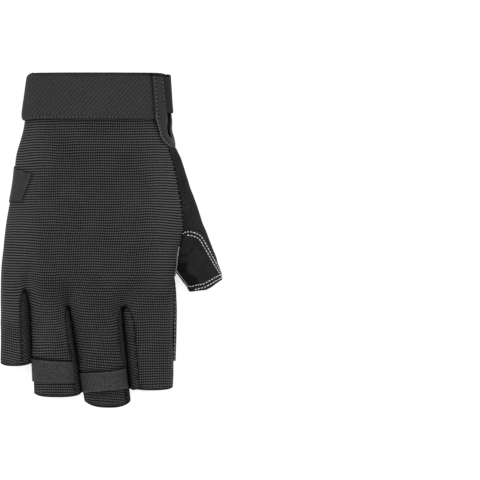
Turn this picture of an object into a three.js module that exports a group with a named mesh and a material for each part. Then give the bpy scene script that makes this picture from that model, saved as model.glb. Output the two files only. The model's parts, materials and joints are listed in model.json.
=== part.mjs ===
// A half-finger climbing glove for the right hand, lying palm down: +X towards the thumb,
// +Y towards the wrist, +Z out of the back of the hand. Every piece is a wall of cloth, suede
// or tape, cut to its seams and thickened. Lengths are in millimetres, angles in degrees.
import * as THREE from "three";

// Driving dimensions
const GLOVE_LENGTH = 180; // edge of the cuff to the longest hem
const PALM_WIDTH = 94; // over the knuckles
const PALM_HEIGHT = 28; // palm to the back of the hand, as the glove lies
const CUFF_WIDTH = 25; // the elastic's width
const CUFF_OVERLAP = 5; // how far the panels run up under the elastic
const KNUCKLE_LENGTH = 24; // over which the four finger backs rise out of the hand's back
const CROTCH_ROUND = 9; // how far down a gap its two sides take to part
const WEB_SLOPE = 5; // the palm's crotches lie this much lower than the back's
const FINGER_GAP = 0.9; // air between two fingers
const THUMB_TOP = 40; // edge of the cuff to the top of the thumb's piece
const THUMB_CROTCH = 107; // edge of the cuff to the crotch of the thumb

// Walls and clearances
const CLOTH = 1.2;
const SUEDE = 1.2;
const PATCH = 1.0;
const ELASTIC = 1.5;
const TAPE = 1.0;
const HOOK_TAPE = 1.6;
const RIBBON = 1.0;
const LABEL = 1.0;
const GAP = 0.3; // between two pieces that are sewn together

// Trim
const BINDING_WIDTH = 4.9;
const EDGE_WRAP = 1.5; // how far the binding stands past the edges that it covers
const TAB_WIDTH = 19.5;
const TAB_LENGTH = 58;
const TAB_INSET = 1; // from the edge of the cuff
const LOOP_WIDTH = 10.6;
const LOOP_SLACK = 0.8; // how high a pull loop stands off the finger at its middle
const LABEL_WIDTH = 15;
const LABEL_FOLD = 5; // how far the label runs round onto the palm

// The palm rests on its patch, and the wrist on the closing tab
const SOLE = PATCH + GAP;
const WRIST_LIFT = ELASTIC + HOOK_TAPE + 2 * GAP - SOLE;
const HALF = PALM_WIDTH / 2;

// How square a section's back and palm are: 2 is an ellipse
const BACK_ROUND = 2.35;
const PALM_ROUND = 3;
const PALM_SINK = 1.05; // above 1, the palm is cut flat at the sole

// The hand without its fingers. along: share of GLOVE_LENGTH from the edge of the cuff.
// little, index: its two sides, shares of half PALM_WIDTH. crown, side: heights, shares of
// PALM_HEIGHT. lift: how much of WRIST_LIFT the underside is raised by.
const HAND = [
  { along: 0.0, little: -0.68, index: 0.84, crown: 0.93, side: 0.5, lift: 1 },
  { along: 0.142, little: -0.755, index: 0.88, crown: 0.93, side: 0.49, lift: 1 },
  { along: 0.205, little: -0.804, index: 0.93, crown: 0.95, side: 0.47, lift: 0.6 },
  { along: 0.255, little: -0.848, index: 0.975, crown: 0.97, side: 0.455, lift: 0.2 },
  { along: 0.325, little: -0.877, index: 1.03, crown: 0.99, side: 0.44, lift: 0 },
  { along: 0.46, little: -0.966, index: 1.09, crown: 1.0, side: 0.42, lift: 0 },
  { along: 0.53, little: -0.992, index: 1.03, crown: 0.98, side: 0.41, lift: 0 },
  { along: 0.6, little: -1.012, index: 0.97, crown: 0.95, side: 0.4, lift: 0 },
  { along: 0.7, little: -1.025, index: 0.96, crown: 0.88, side: 0.4, lift: 0 },
];

// Where the back panel and the palm end on the index side, as angles of the hand's section
const INDEX_EDGES = [
  { along: 0.0, back: 64, palm: 101 },
  { along: 0.142, back: 69, palm: 98 },
  { along: 0.205, back: 71, palm: 100 },
  { along: 0.27, back: 74, palm: 127 },
  { along: 0.34, back: 76, palm: 144 },
  { along: 0.4, back: 77, palm: 150 },
  { along: 0.46, back: 79, palm: 150 },
  { along: 0.505, back: 81, palm: 141 },
  { along: 0.55, back: 84, palm: 122 },
  { along: 0.594, back: 90, palm: 90 },
];

// The thumb down to its crotch. outer: its silhouette. crest, keel: the lines of its top and
// underside. top: the crest's height. Lengths are shares of half PALM_WIDTH and PALM_HEIGHT.
const THUMB = [
  { along: 0.205, outer: 0.965, crest: 0.889, keel: 0.922, top: 0.5 },
  { along: 0.27, outer: 1.05, crest: 0.957, keel: 0.86, top: 0.52 },
  { along: 0.34, outer: 1.15, crest: 1.011, keel: 0.76, top: 0.54 },
  { along: 0.4, outer: 1.235, crest: 1.06, keel: 0.78, top: 0.57 },
  { along: 0.46, outer: 1.313, crest: 1.1, keel: 0.88, top: 0.6 },
  { along: 0.505, outer: 1.38, crest: 1.14, keel: 1.0, top: 0.625 },
  { along: 0.55, outer: 1.445, crest: 1.19, keel: 1.13, top: 0.64 },
  { along: 0.594, outer: 1.5, crest: 1.235, keel: 1.235, top: 0.65 },
];

// The thumb's hem, from its inner end to its outer end, seen from above. bow: how far its
// middle lies beyond them, as a share of PALM_HEIGHT.
const THUMB_HEM = {
  inner: { x: 1.163, along: 0.657 },
  outer: { x: 1.497, along: 0.62 },
  top: 0.63,
  bow: 0.05,
};

// The lines between the fingers, and the two outer sides. knuckle, tip: x at the knuckles and
// at the tips. lean: how far the line's top stands towards the little finger. crotch: where
// the back panel parts.
const SIDES = [
  { name: "little_side", knuckle: -1.025, tip: -1.025, lean: 0, crotch: 0.648 },
  { name: "little_ring", knuckle: -0.681, tip: -0.638, lean: 0.034, crotch: 0.648 },
  { name: "ring_middle", knuckle: -0.23, tip: -0.075, lean: 0.022, crotch: 0.696 },
  { name: "middle_index", knuckle: 0.362, tip: 0.471, lean: -0.032, crotch: 0.696 },
  { name: "index_side", knuckle: 0.96, tip: 0.943, lean: 0, crotch: 0.696 },
];
const KNUCKLES = 0.699;
const TIPS = 0.97;

// hem: share of GLOVE_LENGTH. drop: how much longer the back is than the sides. crown, crown_tip,
// side: heights. rest: 1 if the patch lies under it to its hem, else 0. seams: angles of the back panel's two seams, from the top of the finger.
const FINGERS = [
  { name: "little", hem: 0.869, drop: 0.05, crown: 0.68, crown_tip: 0.62, side: 0.35, rest: 0, seams: [90, 30] },
  { name: "ring", hem: 0.957, drop: 0.08, crown: 0.8, crown_tip: 0.73, side: 0.38, rest: 0, seams: [74, 48] },
  { name: "middle", hem: 0.98, drop: 0.13, crown: 0.86, crown_tip: 0.78, side: 0.4, rest: 0, seams: [74, 56] },
  { name: "index", hem: 0.941, drop: 0.05, crown: 0.82, crown_tip: 0.75, side: 0.38, rest: 1, seams: [33, 90] },
];
const PALM_SEAM = 128; // angle of the palm's seams between fingers

// How finely the walls are divided
const FINGER_COLUMNS = 6;
const FINGER_ROWS = 7;
const HAND_ROWS = [4, 8, 3]; // to the thumb's top, to the thumb's crotch, to the fingers'
const WEB_COLUMNS = 3;
const THUMB_COLUMNS = 16;
const THUMB_TIP_ROWS = 3;
const ARC_STEPS = 48;
const RADIAN = Math.PI / 180;
const lerp = THREE.MathUtils.lerp;
const smooth = THREE.MathUtils.smoothstep;

const yAt = (along) => GLOVE_LENGTH * (0.5 - along);
const alongAt = (y) => 0.5 - y / GLOVE_LENGTH;
const signedPower = (value, power) => Math.sign(value) * Math.abs(value) ** power;

// A table's column at a place between its rows, on a smooth curve through them.
function column(table, name, along) {
  const last = table.length - 1;
  if (along <= table[0].along) return table[0][name];
  if (along >= table[last].along) return table[last][name];
  const i = table.findIndex((row) => row.along > along) - 1;
  const slope = (k) => {
    const [a, b] = [table[Math.max(k - 1, 0)], table[Math.min(k + 1, last)]];
    return (b[name] - a[name]) / (b.along - a.along);
  };
  const [a, b] = [table[i], table[i + 1]];
  const step = b.along - a.along;
  const t = (along - a.along) / step;
  const ease = t * t * (3 - 2 * t);
  const ends = slope(i) * t * (1 - t) ** 2 - slope(i + 1) * t * t * (1 - t);
  return lerp(a[name], b[name], ease) + step * ends;
}

// Sections: two half superellipses that meet at the level of the sides.
function handSection(y) {
  const along = alongAt(y);
  const at = (name) => column(HAND, name, along);
  const [left, right] = [at("little") * HALF, at("index") * HALF];
  return {
    y,
    middle: (left + right) / 2,
    half: (right - left) / 2,
    crown: at("crown") * PALM_HEIGHT,
    side: at("side") * PALM_HEIGHT,
    sole: SOLE + Math.max(at("lift"), 0) * WRIST_LIFT,
    leans: [0, 0],
  };
}

function sideX(side, y) {
  return HALF * lerp(side.knuckle, side.tip, (alongAt(y) - KNUCKLES) / (TIPS - KNUCKLES));
}

function fingerSection(finger, y) {
  const row = FINGERS[finger];
  const edges = [SIDES[finger], SIDES[finger + 1]];
  const left = sideX(edges[0], y) + (finger > 0 ? FINGER_GAP / 2 : 0);
  const right = sideX(edges[1], y) - (finger < FINGERS.length - 1 ? FINGER_GAP / 2 : 0);
  const tip = (alongAt(y) - KNUCKLES) / (TIPS - KNUCKLES);
  return {
    y,
    middle: (left + right) / 2,
    half: (right - left) / 2,
    crown: lerp(row.crown, row.crown_tip, tip) * PALM_HEIGHT,
    side: row.side * PALM_HEIGHT,
    sole: SOLE * lerp(1, row.rest, smooth(tip, 0.05, 0.4)),
    leans: edges.map((side) => side.lean * HALF),
  };
}

// The point of a section at an angle from its crown, positive towards the index side.
function onSection(s, degrees) {
  const [sin, cos] = [Math.sin(degrees * RADIAN), Math.cos(degrees * RADIAN)];
  const power = 2 / (cos >= 0 ? BACK_ROUND : PALM_ROUND);
  const across = signedPower(sin, power);
  const rise = signedPower(cos, power) * (cos >= 0 ? s.crown - s.side : (s.side - s.sole) * PALM_SINK);
  const z = Math.max(s.side + rise, s.sole);
  const lean = lerp(s.leans[0], s.leans[1], (across + 1) / 2);
  const shift = (lean * (z - s.side)) / (s.crown - s.side);
  return new THREE.Vector3(s.middle + s.half * across - shift, s.y, z);
}

function arc(section, from, to) {
  return Array.from({ length: ARC_STEPS + 1 }, (_, k) => onSection(section, lerp(from, to, k / ARC_STEPS)));
}

// The point that lies a share of the way along a chain of points.
function atShare(points, share) {
  const lengths = [0];
  for (let k = 1; k < points.length; k++) lengths.push(lengths[k - 1] + points[k].distanceTo(points[k - 1]));
  const wanted = share * lengths.at(-1);
  const k = Math.min(Math.max(lengths.findIndex((l) => l >= wanted), 1), points.length - 1);
  const t = (wanted - lengths[k - 1]) / (lengths[k] - lengths[k - 1] || 1);
  return points[k - 1].clone().lerp(points[k], t);
}

// The angles at which the back panel and the palm end on the index side.
function indexAngles(y) {
  const along = alongAt(y);
  if (y <= yAt(THUMB_CROTCH / GLOVE_LENGTH)) return { back: 90, palm: 90 };
  return { back: column(INDEX_EDGES, "back", along), palm: column(INDEX_EDGES, "palm", along) };
}

const handBack = (y, share) => atShare(arc(handSection(y), -90, indexAngles(y).back), share);
const handPalm = (y, share) => atShare(arc(handSection(y), -90, indexAngles(y).palm - 360), share);

// A panel is either the back or the palm. Its seams on a finger, and its crotches.
const PANELS = {
  back: { hand: handBack, seams: (f) => [-FINGERS[f].seams[0], FINGERS[f].seams[1]], web: 0 },
  palm: {
    hand: handPalm,
    seams: (f) => [f > 0 ? -PALM_SEAM : -90, f < FINGERS.length - 1 ? PALM_SEAM - 360 : -270],
    web: 1,
  },
};

const isGap = (side) => side > 0 && side < SIDES.length - 1;
const crotchY = (side, web) => yAt(SIDES[side].crotch) - (isGap(side) ? web * WEB_SLOPE : 0);

// Where a finger's hem is at an angle of its section.
function hemY(finger, degrees) {
  const row = FINGERS[finger];
  return yAt(row.hem) - row.drop * PALM_HEIGHT * Math.cos(degrees * RADIAN);
}

// How far the two sides of a gap are drawn together at a place above or just under its crotch.
function drawn(side, y, web) {
  const below = (crotchY(side, web) - y) / CROTCH_ROUND;
  return isGap(side) ? 1 - Math.sqrt(Math.min(Math.max(below, 0), 1)) : 0;
}

// How far the two walls that face each other across a gap have to move to meet in the middle.
function meeting(side, y, angles, web) {
  const left = onSection(fingerSection(side - 1, y), angles[0]);
  const right = onSection(fingerSection(side, y), angles[1]);
  const half = right.sub(left).multiplyScalar(drawn(side, y, web) / 2);
  return half;
}

// The share of the hand's width at which each side starts, on the back or the palm.
function shares(panel) {
  const y = yAt(KNUCKLES);
  return SIDES.map((side, k) => {
    if (!isGap(k)) return k === 0 ? 0 : 1;
    let [low, high] = [0, 1];
    for (let step = 0; step < 20; step++) {
      const middle = (low + high) / 2;
      if (panel.hand(y, middle).x < sideX(side, y)) low = middle;
      else high = middle;
    }
    return low;
  });
}

// A point of the back or the palm: across is 0 to 1 over one finger's share.
function panelPoint(panel, finger, across, y) {
  const [from, to] = panel.seams(finger);
  const tube = onSection(fingerSection(finger, y), lerp(from, to, across));
  for (const [k, pull] of [[finger, 1 - across], [finger + 1, across]]) {
    if (!isGap(k)) continue;
    const angles = [panel.seams(k - 1)[1], panel.seams(k)[0]];
    const half = meeting(k, y, angles, panel.web);
    tube.addScaledVector(half, (k === finger ? -1 : 1) * smooth(pull, 0.35, 1));
  }
  const crotch = lerp(crotchY(finger, panel.web), crotchY(finger + 1, panel.web), across);
  tube.z = Math.max(tube.z, fingerSection(finger, y).sole);
  const blend = smooth(crotch + KNUCKLE_LENGTH - y, 0, KNUCKLE_LENGTH);
  if (blend === 1) return tube;
  return panel.hand(y, lerp(panel.shares[finger], panel.shares[finger + 1], across)).lerp(tube, blend);
}
for (const panel of Object.values(PANELS)) panel.shares = shares(panel);

// Rows of the hand, as shares of the way from the panels' top to the crotches.
const PANEL_TOP = GLOVE_LENGTH / 2 - (CUFF_WIDTH - CUFF_OVERLAP);
function handRows() {
  const bottom = crotchY(SIDES.length - 1, 0);
  const stops = [PANEL_TOP, yAt(THUMB_TOP / GLOVE_LENGTH), yAt(THUMB_CROTCH / GLOVE_LENGTH), bottom];
  const rows = [0];
  HAND_ROWS.forEach((count, k) => {
    for (let n = 1; n <= count; n++) {
      rows.push((PANEL_TOP - lerp(stops[k], stops[k + 1], n / count)) / (PANEL_TOP - bottom));
    }
  });
  return rows;
}
const ROWS = handRows();
const fingerRow = (k) => (k / FINGER_ROWS) ** 1.6; // closer together at the crotch

// A sheet of faces over points. Points in one place are one point.
class Sheet {
  points = [];
  faces = [];
  places = new Map();

  add(point) {
    const key = place(point);
    if (!this.places.has(key)) {
      this.places.set(key, this.points.length);
      this.points.push(point.clone());
    }
    return this.places.get(key);
  }

  // Faces over a grid: rows going one way and columns to their left, seen from outside. Each
  // face is split along its shorter diagonal, from its first corner.
  grid(rows, flip = false) {
    const ids = rows.map((row) => row.map((point) => this.add(point)));
    for (let r = 0; r + 1 < ids.length; r++) {
      for (let c = 0; c + 1 < ids[r].length; c++) {
        const face = [ids[r][c], ids[r + 1][c], ids[r + 1][c + 1], ids[r][c + 1]];
        if (flip) face.reverse();
        const [a, b, k, d] = face.map((id) => this.points[id]);
        if (a.distanceTo(k) > b.distanceTo(d)) face.push(face.shift());
        this.faces.push(face);
      }
    }
    return this;
  }

  normals() {
    const sums = this.points.map(() => new THREE.Vector3());
    for (const [a, b, c, d] of this.faces) {
      const across = this.points[c].clone().sub(this.points[a]);
      across.cross(this.points[d].clone().sub(this.points[b]));
      for (const k of [a, b, c, d]) sums[k].add(across);
    }
    return sums.map((sum) => sum.normalize());
  }

  // Edges that only one face has, in that face's direction.
  rim() {
    const found = new Map();
    for (const face of this.faces) {
      face.forEach((a, k) => {
        const b = face[(k + 1) % face.length];
        if (!found.delete(`${b} ${a}`)) found.set(`${a} ${b}`, { a, b, face });
      });
    }
    return [...found.values()];
  }

  // Draws the rim back into the sheet.
  trim(distance) {
    const inward = new Map();
    for (const { a, b, face } of this.rim()) {
      const edge = this.points[b].clone().sub(this.points[a]).normalize();
      const centre = face.reduce((sum, k) => sum.add(this.points[k]), new THREE.Vector3()).divideScalar(4);
      const way = centre.sub(this.points[a]);
      way.addScaledVector(edge, -way.dot(edge)).normalize();
      for (const k of [a, b]) {
        if (!inward.has(k)) inward.set(k, []);
        inward.get(k).push(way);
      }
    }
    for (const [k, ways] of inward) {
      const sum = ways.reduce((total, way) => total.add(way), new THREE.Vector3());
      const size = sum.length();
      this.points[k].addScaledVector(sum, (distance * Math.min(ways.length / size, 1.5)) / size);
    }
    return this;
  }

  // The solid between two distances from the sheet, which may change from point to point.
  solid(normals, lower, upper) {
    const count = this.points.length;
    const level = (value, k) => (typeof value === "function" ? value(this.points[k], k) : value);
    const layer = (value) => this.points.map((p, k) => p.clone().addScaledVector(normals[k], level(value, k)));
    const positions = [...layer(upper), ...layer(lower)].flatMap(({ x, y, z }) => [x, y, Math.max(z, 0)]);
    const index = [];
    for (const [a, b, c, d] of this.faces) {
      index.push(a, b, c, a, c, d);
      index.push(...[a, c, b, a, d, c].map((k) => k + count));
    }
    for (const { a, b } of this.rim()) index.push(a, a + count, b + count, a, b + count, b);
    const geometry = new THREE.BufferGeometry();
    geometry.setAttribute("position", new THREE.Float32BufferAttribute(positions, 3));
    return geometry.setIndex(index);
  }
}

const place = (p) => p.toArray().map((value) => Math.round(value * 1e4)).join(" ");
const steps = (count) => Array.from({ length: count + 1 }, (_, k) => k / count);

// The back panel or the palm, with its four fingers.
function panelSheet(panel) {
  const sheet = new Sheet();
  const columns = steps(FINGER_COLUMNS);
  FINGERS.forEach((_, finger) => {
    const crotch = (u) => lerp(crotchY(finger, panel.web), crotchY(finger + 1, panel.web), u);
    const [from, to] = panel.seams(finger);
    const hem = (u) => hemY(finger, lerp(from, to, u));
    const hand = ROWS.map((v) => columns.map((u) => panelPoint(panel, finger, u, lerp(PANEL_TOP, crotch(u), v))));
    const tube = steps(FINGER_ROWS).map((_step, k) =>
      columns.map((u) => panelPoint(panel, finger, u, lerp(crotch(u), hem(u), fingerRow(k)))),
    );
    sheet.grid(hand, panel.web === 1).grid(tube, panel.web === 1);
  });
  return sheet;
}

// The strip in the gap before a side: down one finger's wall, round the crotch, up the next.
function webSheet(side) {
  const point = (finger, q, k) => {
    const end = finger < side ? 1 : 0;
    const angles = [side - 1, side].map((f) => {
      const sign = f < side ? 1 : -1;
      return lerp(sign * FINGERS[f].seams[f < side ? 1 : 0], sign * PALM_SEAM, q);
    });
    const crotch = crotchY(side, q);
    const y = lerp(crotch, hemY(finger, angles[1 - end]), fingerRow(k));
    const half = meeting(side, y, angles, q);
    return onSection(fingerSection(finger, y), angles[1 - end]).addScaledVector(half, end ? 1 : -1);
  };
  const down = [...Array(FINGER_ROWS + 1).keys()];
  const path = [...down.toReversed().map((k) => [side - 1, k]), ...down.slice(1).map((k) => [side, k])];
  return new Sheet().grid(
    path.map(([finger, k]) => steps(WEB_COLUMNS).map((q) => point(finger, q, k))),
    true,
  );
}

// A quarter turn from one point to another, level at the first and upright at the second.
function quarter(level, upright) {
  return steps(ARC_STEPS / 4).map((t) => {
    const [sin, cos] = [Math.sin((t * Math.PI) / 2) ** 0.9, Math.cos((t * Math.PI) / 2) ** 0.9];
    return new THREE.Vector3(
      lerp(level.x, upright.x, sin),
      lerp(level.y, upright.y, sin),
      lerp(upright.z, level.z, cos),
    );
  });
}

// One row of the thumb, from the back panel's seam over its outer side to the palm's seam.
function thumbRow(seamTop, crest, outer, keel, seamPalm) {
  return [
    ...quarter(crest, seamTop).toReversed(),
    ...quarter(crest, outer).slice(1),
    ...quarter(keel, outer).toReversed().slice(1),
    ...quarter(keel, seamPalm).slice(1),
  ];
}

function thumbBaseRow(down) {
  const y = lerp(yAt(THUMB_TOP / GLOVE_LENGTH), yAt(THUMB_CROTCH / GLOVE_LENGTH), down);
  const s = handSection(y);
  const at = (name) => column(THUMB, name, alongAt(y));
  const angles = indexAngles(y);
  const [seamTop, seamPalm] = [onSection(s, angles.back), onSection(s, angles.palm)];
  const crestX = Math.max(at("crest") * HALF, seamTop.x);
  const keelX = Math.max(at("keel") * HALF, seamPalm.x);
  const open = crestX - seamTop.x < GAP;
  const crest = open ? seamTop : new THREE.Vector3(crestX, y, Math.max(at("top") * PALM_HEIGHT, seamTop.z));
  const low = s.sole * (1 - smooth(down, 0.1, 0.5));
  const keel = keelX - seamPalm.x < GAP ? seamPalm : new THREE.Vector3(keelX, y, low);
  const middle = (Math.min(crest.z, seamTop.z) + keel.z) / 2;
  return thumbRow(seamTop, crest, new THREE.Vector3(at("outer") * HALF, y, middle), keel, seamPalm);
}

function thumbHemRow() {
  const spot = ({ x, along }, z) => new THREE.Vector3(x * HALF, yAt(along), z);
  const top = THUMB_HEM.top * PALM_HEIGHT;
  const middle = top / 2;
  const inner = spot(THUMB_HEM.inner, middle);
  const outer = spot(THUMB_HEM.outer, middle);
  const centre = inner.clone().lerp(outer, 0.5);
  centre.y -= THUMB_HEM.bow * PALM_HEIGHT;
  return thumbRow(inner, centre.clone().setZ(top), outer, centre.clone().setZ(0), inner);
}

// The thumb's surface: around is 0 at the back's seam and 1 at the palm's, down runs from 0 at
// its top to 1 at the crotch and 2 at the hem.
function thumbPoint(around, down) {
  if (down <= 1) return atShare(thumbBaseRow(down), around);
  const from = atShare(thumbBaseRow(1), around);
  return from.lerp(atShare(thumbHemRow(), around), down - 1);
}

const thumbRows = [
  ...steps(HAND_ROWS[1]),
  ...steps(THUMB_TIP_ROWS).slice(1).map((t) => 1 + t),
];
const thumbSheet = () =>
  new Sheet().grid(thumbRows.map((down) => steps(THUMB_COLUMNS).map((around) => thumbPoint(around, down))));

// The patch on the thumb. Its upper edge, column by column from the seam, as places down the
// thumb.
const THUMB_PATCH_TOP = [0.67, 0.66, 0.67, 0.7, 0.76, 0.84, 0.93, 1.12];
function thumbPatchSheet() {
  const tip = steps(THUMB_TIP_ROWS).map((t) => Math.min(1 + t, 1.96));
  const columns = THUMB_PATCH_TOP.map((top, k) => {
    const downs = top < 1 ? [...steps(4).slice(0, -1).map((t) => lerp(top, 1, t)), ...tip] : null;
    const short = steps(tip.length + 3).map((t) => lerp(top, tip.at(-1), t));
    return (downs ?? short).map((down) => thumbPoint((k + 1) / THUMB_COLUMNS, down));
  });
  return new Sheet().grid(columns[0].map((_, row) => columns.map((points) => points[row])));
}

// The palm's patch: over the palm from this row on, and down the index finger, whose outer side
// it covers.
const PALM_PATCH = { from_row: 7, index_rows: 5, inset: 1.2 };
function palmPatchSheet() {
  const panel = PANELS.palm;
  const sheet = new Sheet();
  const columns = steps(FINGER_COLUMNS);
  FINGERS.forEach((row, finger) => {
    const isIndex = row.name === "index";
    const crotch = (u) => lerp(crotchY(finger, 1), crotchY(finger + 1, 1), u);
    const add = (downs, across, yOf) => {
      const rows = downs.map((v) => across.map((u) => panelPoint(panel, finger, u, yOf(u, v))));
      sheet.grid(rows, true);
    };
    const onHand = (u, v) => lerp(PANEL_TOP, crotch(u), v);
    const rows = ROWS.slice(PALM_PATCH.from_row, isIndex ? undefined : -1);
    add(rows, columns.slice(finger === 0 ? 2 : 0, isIndex ? -1 : undefined), onHand);
    if (!isIndex) return;
    const [from, to] = panel.seams(finger);
    const downs = steps(PALM_PATCH.index_rows).map((_, k) => fingerRow(k));
    add(downs, columns, (u, v) => lerp(crotch(u), hemY(finger, lerp(from, to, u)), v));
  });
  return sheet;
}

// The patch stands off a little where it turns up the index finger's side and by the crotches.
function palmPatchLevel({ x, y }) {
  return GAP + 0.35 * smooth(x, 0.85 * HALF, 0.93 * HALF) + 0.15 * smooth(-y, 26, 31);
}

// The wrist: a place is a distance round from the middle of the slit, and a y.
function wristPoint(round, y) {
  const s = handSection(y);
  const { back, palm } = indexAngles(y);
  const middle = (back + palm) / 2;
  const way = round < 0 ? arc(s, middle, middle - 200) : arc(s, middle, middle + 200);
  const length = way.reduce((sum, p, k) => sum + (k ? p.distanceTo(way[k - 1]) : 0), 0);
  return atShare(way, Math.abs(round) / length);
}

function slitHalf(y) {
  const s = handSection(y);
  const { back, palm } = indexAngles(y);
  return onSection(s, back).distanceTo(onSection(s, palm)) / 2;
}

// The distance from the middle of the slit to the binding's inner edge.
function slitEdge(y) {
  return slitHalf(y) - EDGE_WRAP;
}

const CUFF_TOP = GLOVE_LENGTH / 2;
const CUFF_BOTTOM = CUFF_TOP - CUFF_WIDTH;
const OVER_CUFF = 2 * GAP + ELASTIC; // from the skin to what lies on the elastic

// The wrist's points from the palm's seam round to the back's, over the panels' own.
function wristRing(y) {
  const ring = (panel) => {
    const ends = SIDES.map((_, k) => panel.shares[k]);
    const columns = steps(FINGER_COLUMNS).slice(1);
    return [0, ...FINGERS.flatMap((_, f) => columns.map((u) => lerp(ends[f], ends[f + 1], u)))].map((share) =>
      panel.hand(y, share),
    );
  };
  return [...ring(PANELS.palm).toReversed(), ...ring(PANELS.back).slice(1)];
}

function cuffSheet() {
  const rows = [CUFF_TOP, lerp(CUFF_TOP, PANEL_TOP, 0.5), PANEL_TOP, CUFF_BOTTOM];
  return new Sheet().grid(rows.map(wristRing));
}

// The bound edge of the slit: down its back side, round its end, and up to the tab.
function bindingSheet() {
  const bottom = yAt(THUMB_TOP / GLOVE_LENGTH) + GAP;
  const half = slitEdge(bottom + BINDING_WIDTH);
  const turn = bottom + BINDING_WIDTH + half;
  const tabEdge = CUFF_TOP - TAB_INSET - TAB_WIDTH - GAP;
  const across = steps(2);
  const straight = (sign, y) => across.map((q) => wristPoint(sign * (slitEdge(y) + q * BINDING_WIDTH), y));
  const back = [CUFF_TOP, 82, 75, PANEL_TOP, CUFF_BOTTOM - 1.5, CUFF_BOTTOM - 4].map((y) => straight(-1, y));
  const bend = steps(8).slice(1, -1).map((t) => across.map((q) => {
    const radius = half + q * BINDING_WIDTH;
    const [sin, cos] = [Math.sin(t * Math.PI), Math.cos(t * Math.PI)].map((v) => signedPower(v, 0.8));
    return wristPoint(-radius * cos, turn - radius * sin);
  }));
  const palm = [CUFF_BOTTOM - 4, CUFF_BOTTOM - 1.5, tabEdge].map((y) => straight(1, y));
  return new Sheet().grid([...back, ...bend, ...palm], true);
}

// What lies over the elastic steps down to the panels below its edge.
function bindingLevel(point) {
  return lerp(GAP, OVER_CUFF, smooth(point.y, CUFF_BOTTOM - 4, CUFF_BOTTOM - 1.5));
}

// The tab that closes the slit: from the binding round the index side onto the palm.
function tabSheet() {
  const columns = steps(22);
  const rows = steps(3).map((v) => columns.map((u) => {
    const y = CUFF_TOP - TAB_INSET - TAB_WIDTH * v;
    const start = -slitEdge(y) + GAP;
    const round = lerp(start, TAB_LENGTH, u);
    const nip = Math.max(round - TAB_LENGTH + 6, 0) / 6;
    const middle = CUFF_TOP - TAB_INSET - TAB_WIDTH / 2;
    return wristPoint(round, lerp(y, middle, 0.35 * nip ** 2));
  }));
  return new Sheet().grid(rows);
}

// A pull loop over a finger's back, near its hem, sewn into the two seams.
const LOOPS = [
  { finger: "ring", above_hem: 8.2, slant: -0.6 },
  { finger: "middle", above_hem: 9.2, slant: 2.5 },
];
function loopSheet({ finger, above_hem, slant }) {
  const k = FINGERS.findIndex((row) => row.name === finger);
  const rows = steps(3).map((v) => steps(12).map((u) => {
    const y = hemY(k, 0) + above_hem + slant * (u - 0.5) + LOOP_WIDTH * (1 - v);
    return panelPoint(PANELS.back, k, lerp(0.03, 0.97, u), y);
  }));
  return new Sheet().grid(rows);
}
const loopLift = (_point, k) => {
  const u = (k % 13) / 12;
  return GAP + LOOP_SLACK * Math.sin(u * Math.PI);
};

// The folded label in the seam on the little finger's side.
const LABEL_CORNERS = { along: 0.29, reach: 0.167, slant: 0.02, skew: 0.027 };
function labelSheet() {
  const rows = steps(3).map((v) => steps(6).map((u) => {
    const along = LABEL_CORNERS.along + v * (LABEL_WIDTH / GLOVE_LENGTH) + u * LABEL_CORNERS.slant * (1 - v);
    const y = yAt(along);
    const reach = (LABEL_CORNERS.reach - LABEL_CORNERS.skew * v) * PALM_WIDTH + LABEL_FOLD;
    const s = handSection(y);
    const way = [...arc(s, -150, -90).slice(0, -1), ...arc(s, -90, 0)];
    const lengths = way.map((p, n) => (n ? p.distanceTo(way[n - 1]) : 0));
    const total = lengths.reduce((sum, l) => sum + l, 0);
    const side = lengths.slice(0, ARC_STEPS + 1).reduce((sum, l) => sum + l, 0);
    return atShare(way, (side - LABEL_FOLD + u * reach) / total);
  }));
  return new Sheet().grid(rows);
}

const finish = (name, color, roughness) => ({
  [name]: new THREE.MeshStandardMaterial({ name, color, roughness, metalness: 0, flatShading: true }),
});
const MATERIALS = {
  ...finish("ribbed_cloth", 0x35363a, 0.85),
  ...finish("suede", 0x232325, 0.9),
  ...finish("patch_suede", 0x1c1c1e, 0.8),
  ...finish("elastic", 0x303033, 0.8),
  ...finish("binding_tape", 0x3c3c3f, 0.75),
  ...finish("hook_tape", 0x2a2a2c, 0.85),
  ...finish("ribbon", 0x434346, 0.7),
  ...finish("label", 0x3f3f42, 0.7),
};

const glove = new THREE.Group();
function addMesh(name, material, geometry) {
  const mesh = new THREE.Mesh(geometry, MATERIALS[material]);
  mesh.name = name;
  mesh.geometry.computeVertexNormals();
  glove.add(mesh);
}

// The skin: panels that share seams, thickened along the normals that they share.
const skin = [
  { name: "back_panel", material: "ribbed_cloth", wall: CLOTH, sheet: panelSheet(PANELS.back) },
  { name: "palm_panel", material: "suede", wall: SUEDE, sheet: panelSheet(PANELS.palm) },
  { name: "thumb_shell", material: "suede", wall: SUEDE, sheet: thumbSheet() },
  ...SIDES.slice(1, -1).map(({ name }, k) => ({
    name: `fourchette_${name}`,
    material: "ribbed_cloth",
    wall: CLOTH,
    sheet: webSheet(k + 1),
  })),
];
const shared = new Map();
for (const { sheet } of skin) {
  sheet.normals().forEach((normal, k) => {
    const key = place(sheet.points[k]);
    shared.set(key, (shared.get(key) ?? new THREE.Vector3()).add(normal));
  });
}
function normalsOf(sheet) {
  const own = sheet.normals();
  return sheet.points.map((p, k) => (shared.get(place(p)) ?? own[k]).clone().normalize());
}
for (const { name, material, wall, sheet } of skin) {
  const normals = normalsOf(sheet);
  sheet.trim(name.startsWith("fourchette") ? 1.4 * GAP : GAP / 2);
  addMesh(name, material, sheet.solid(normals, -wall, 0));
}

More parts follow.
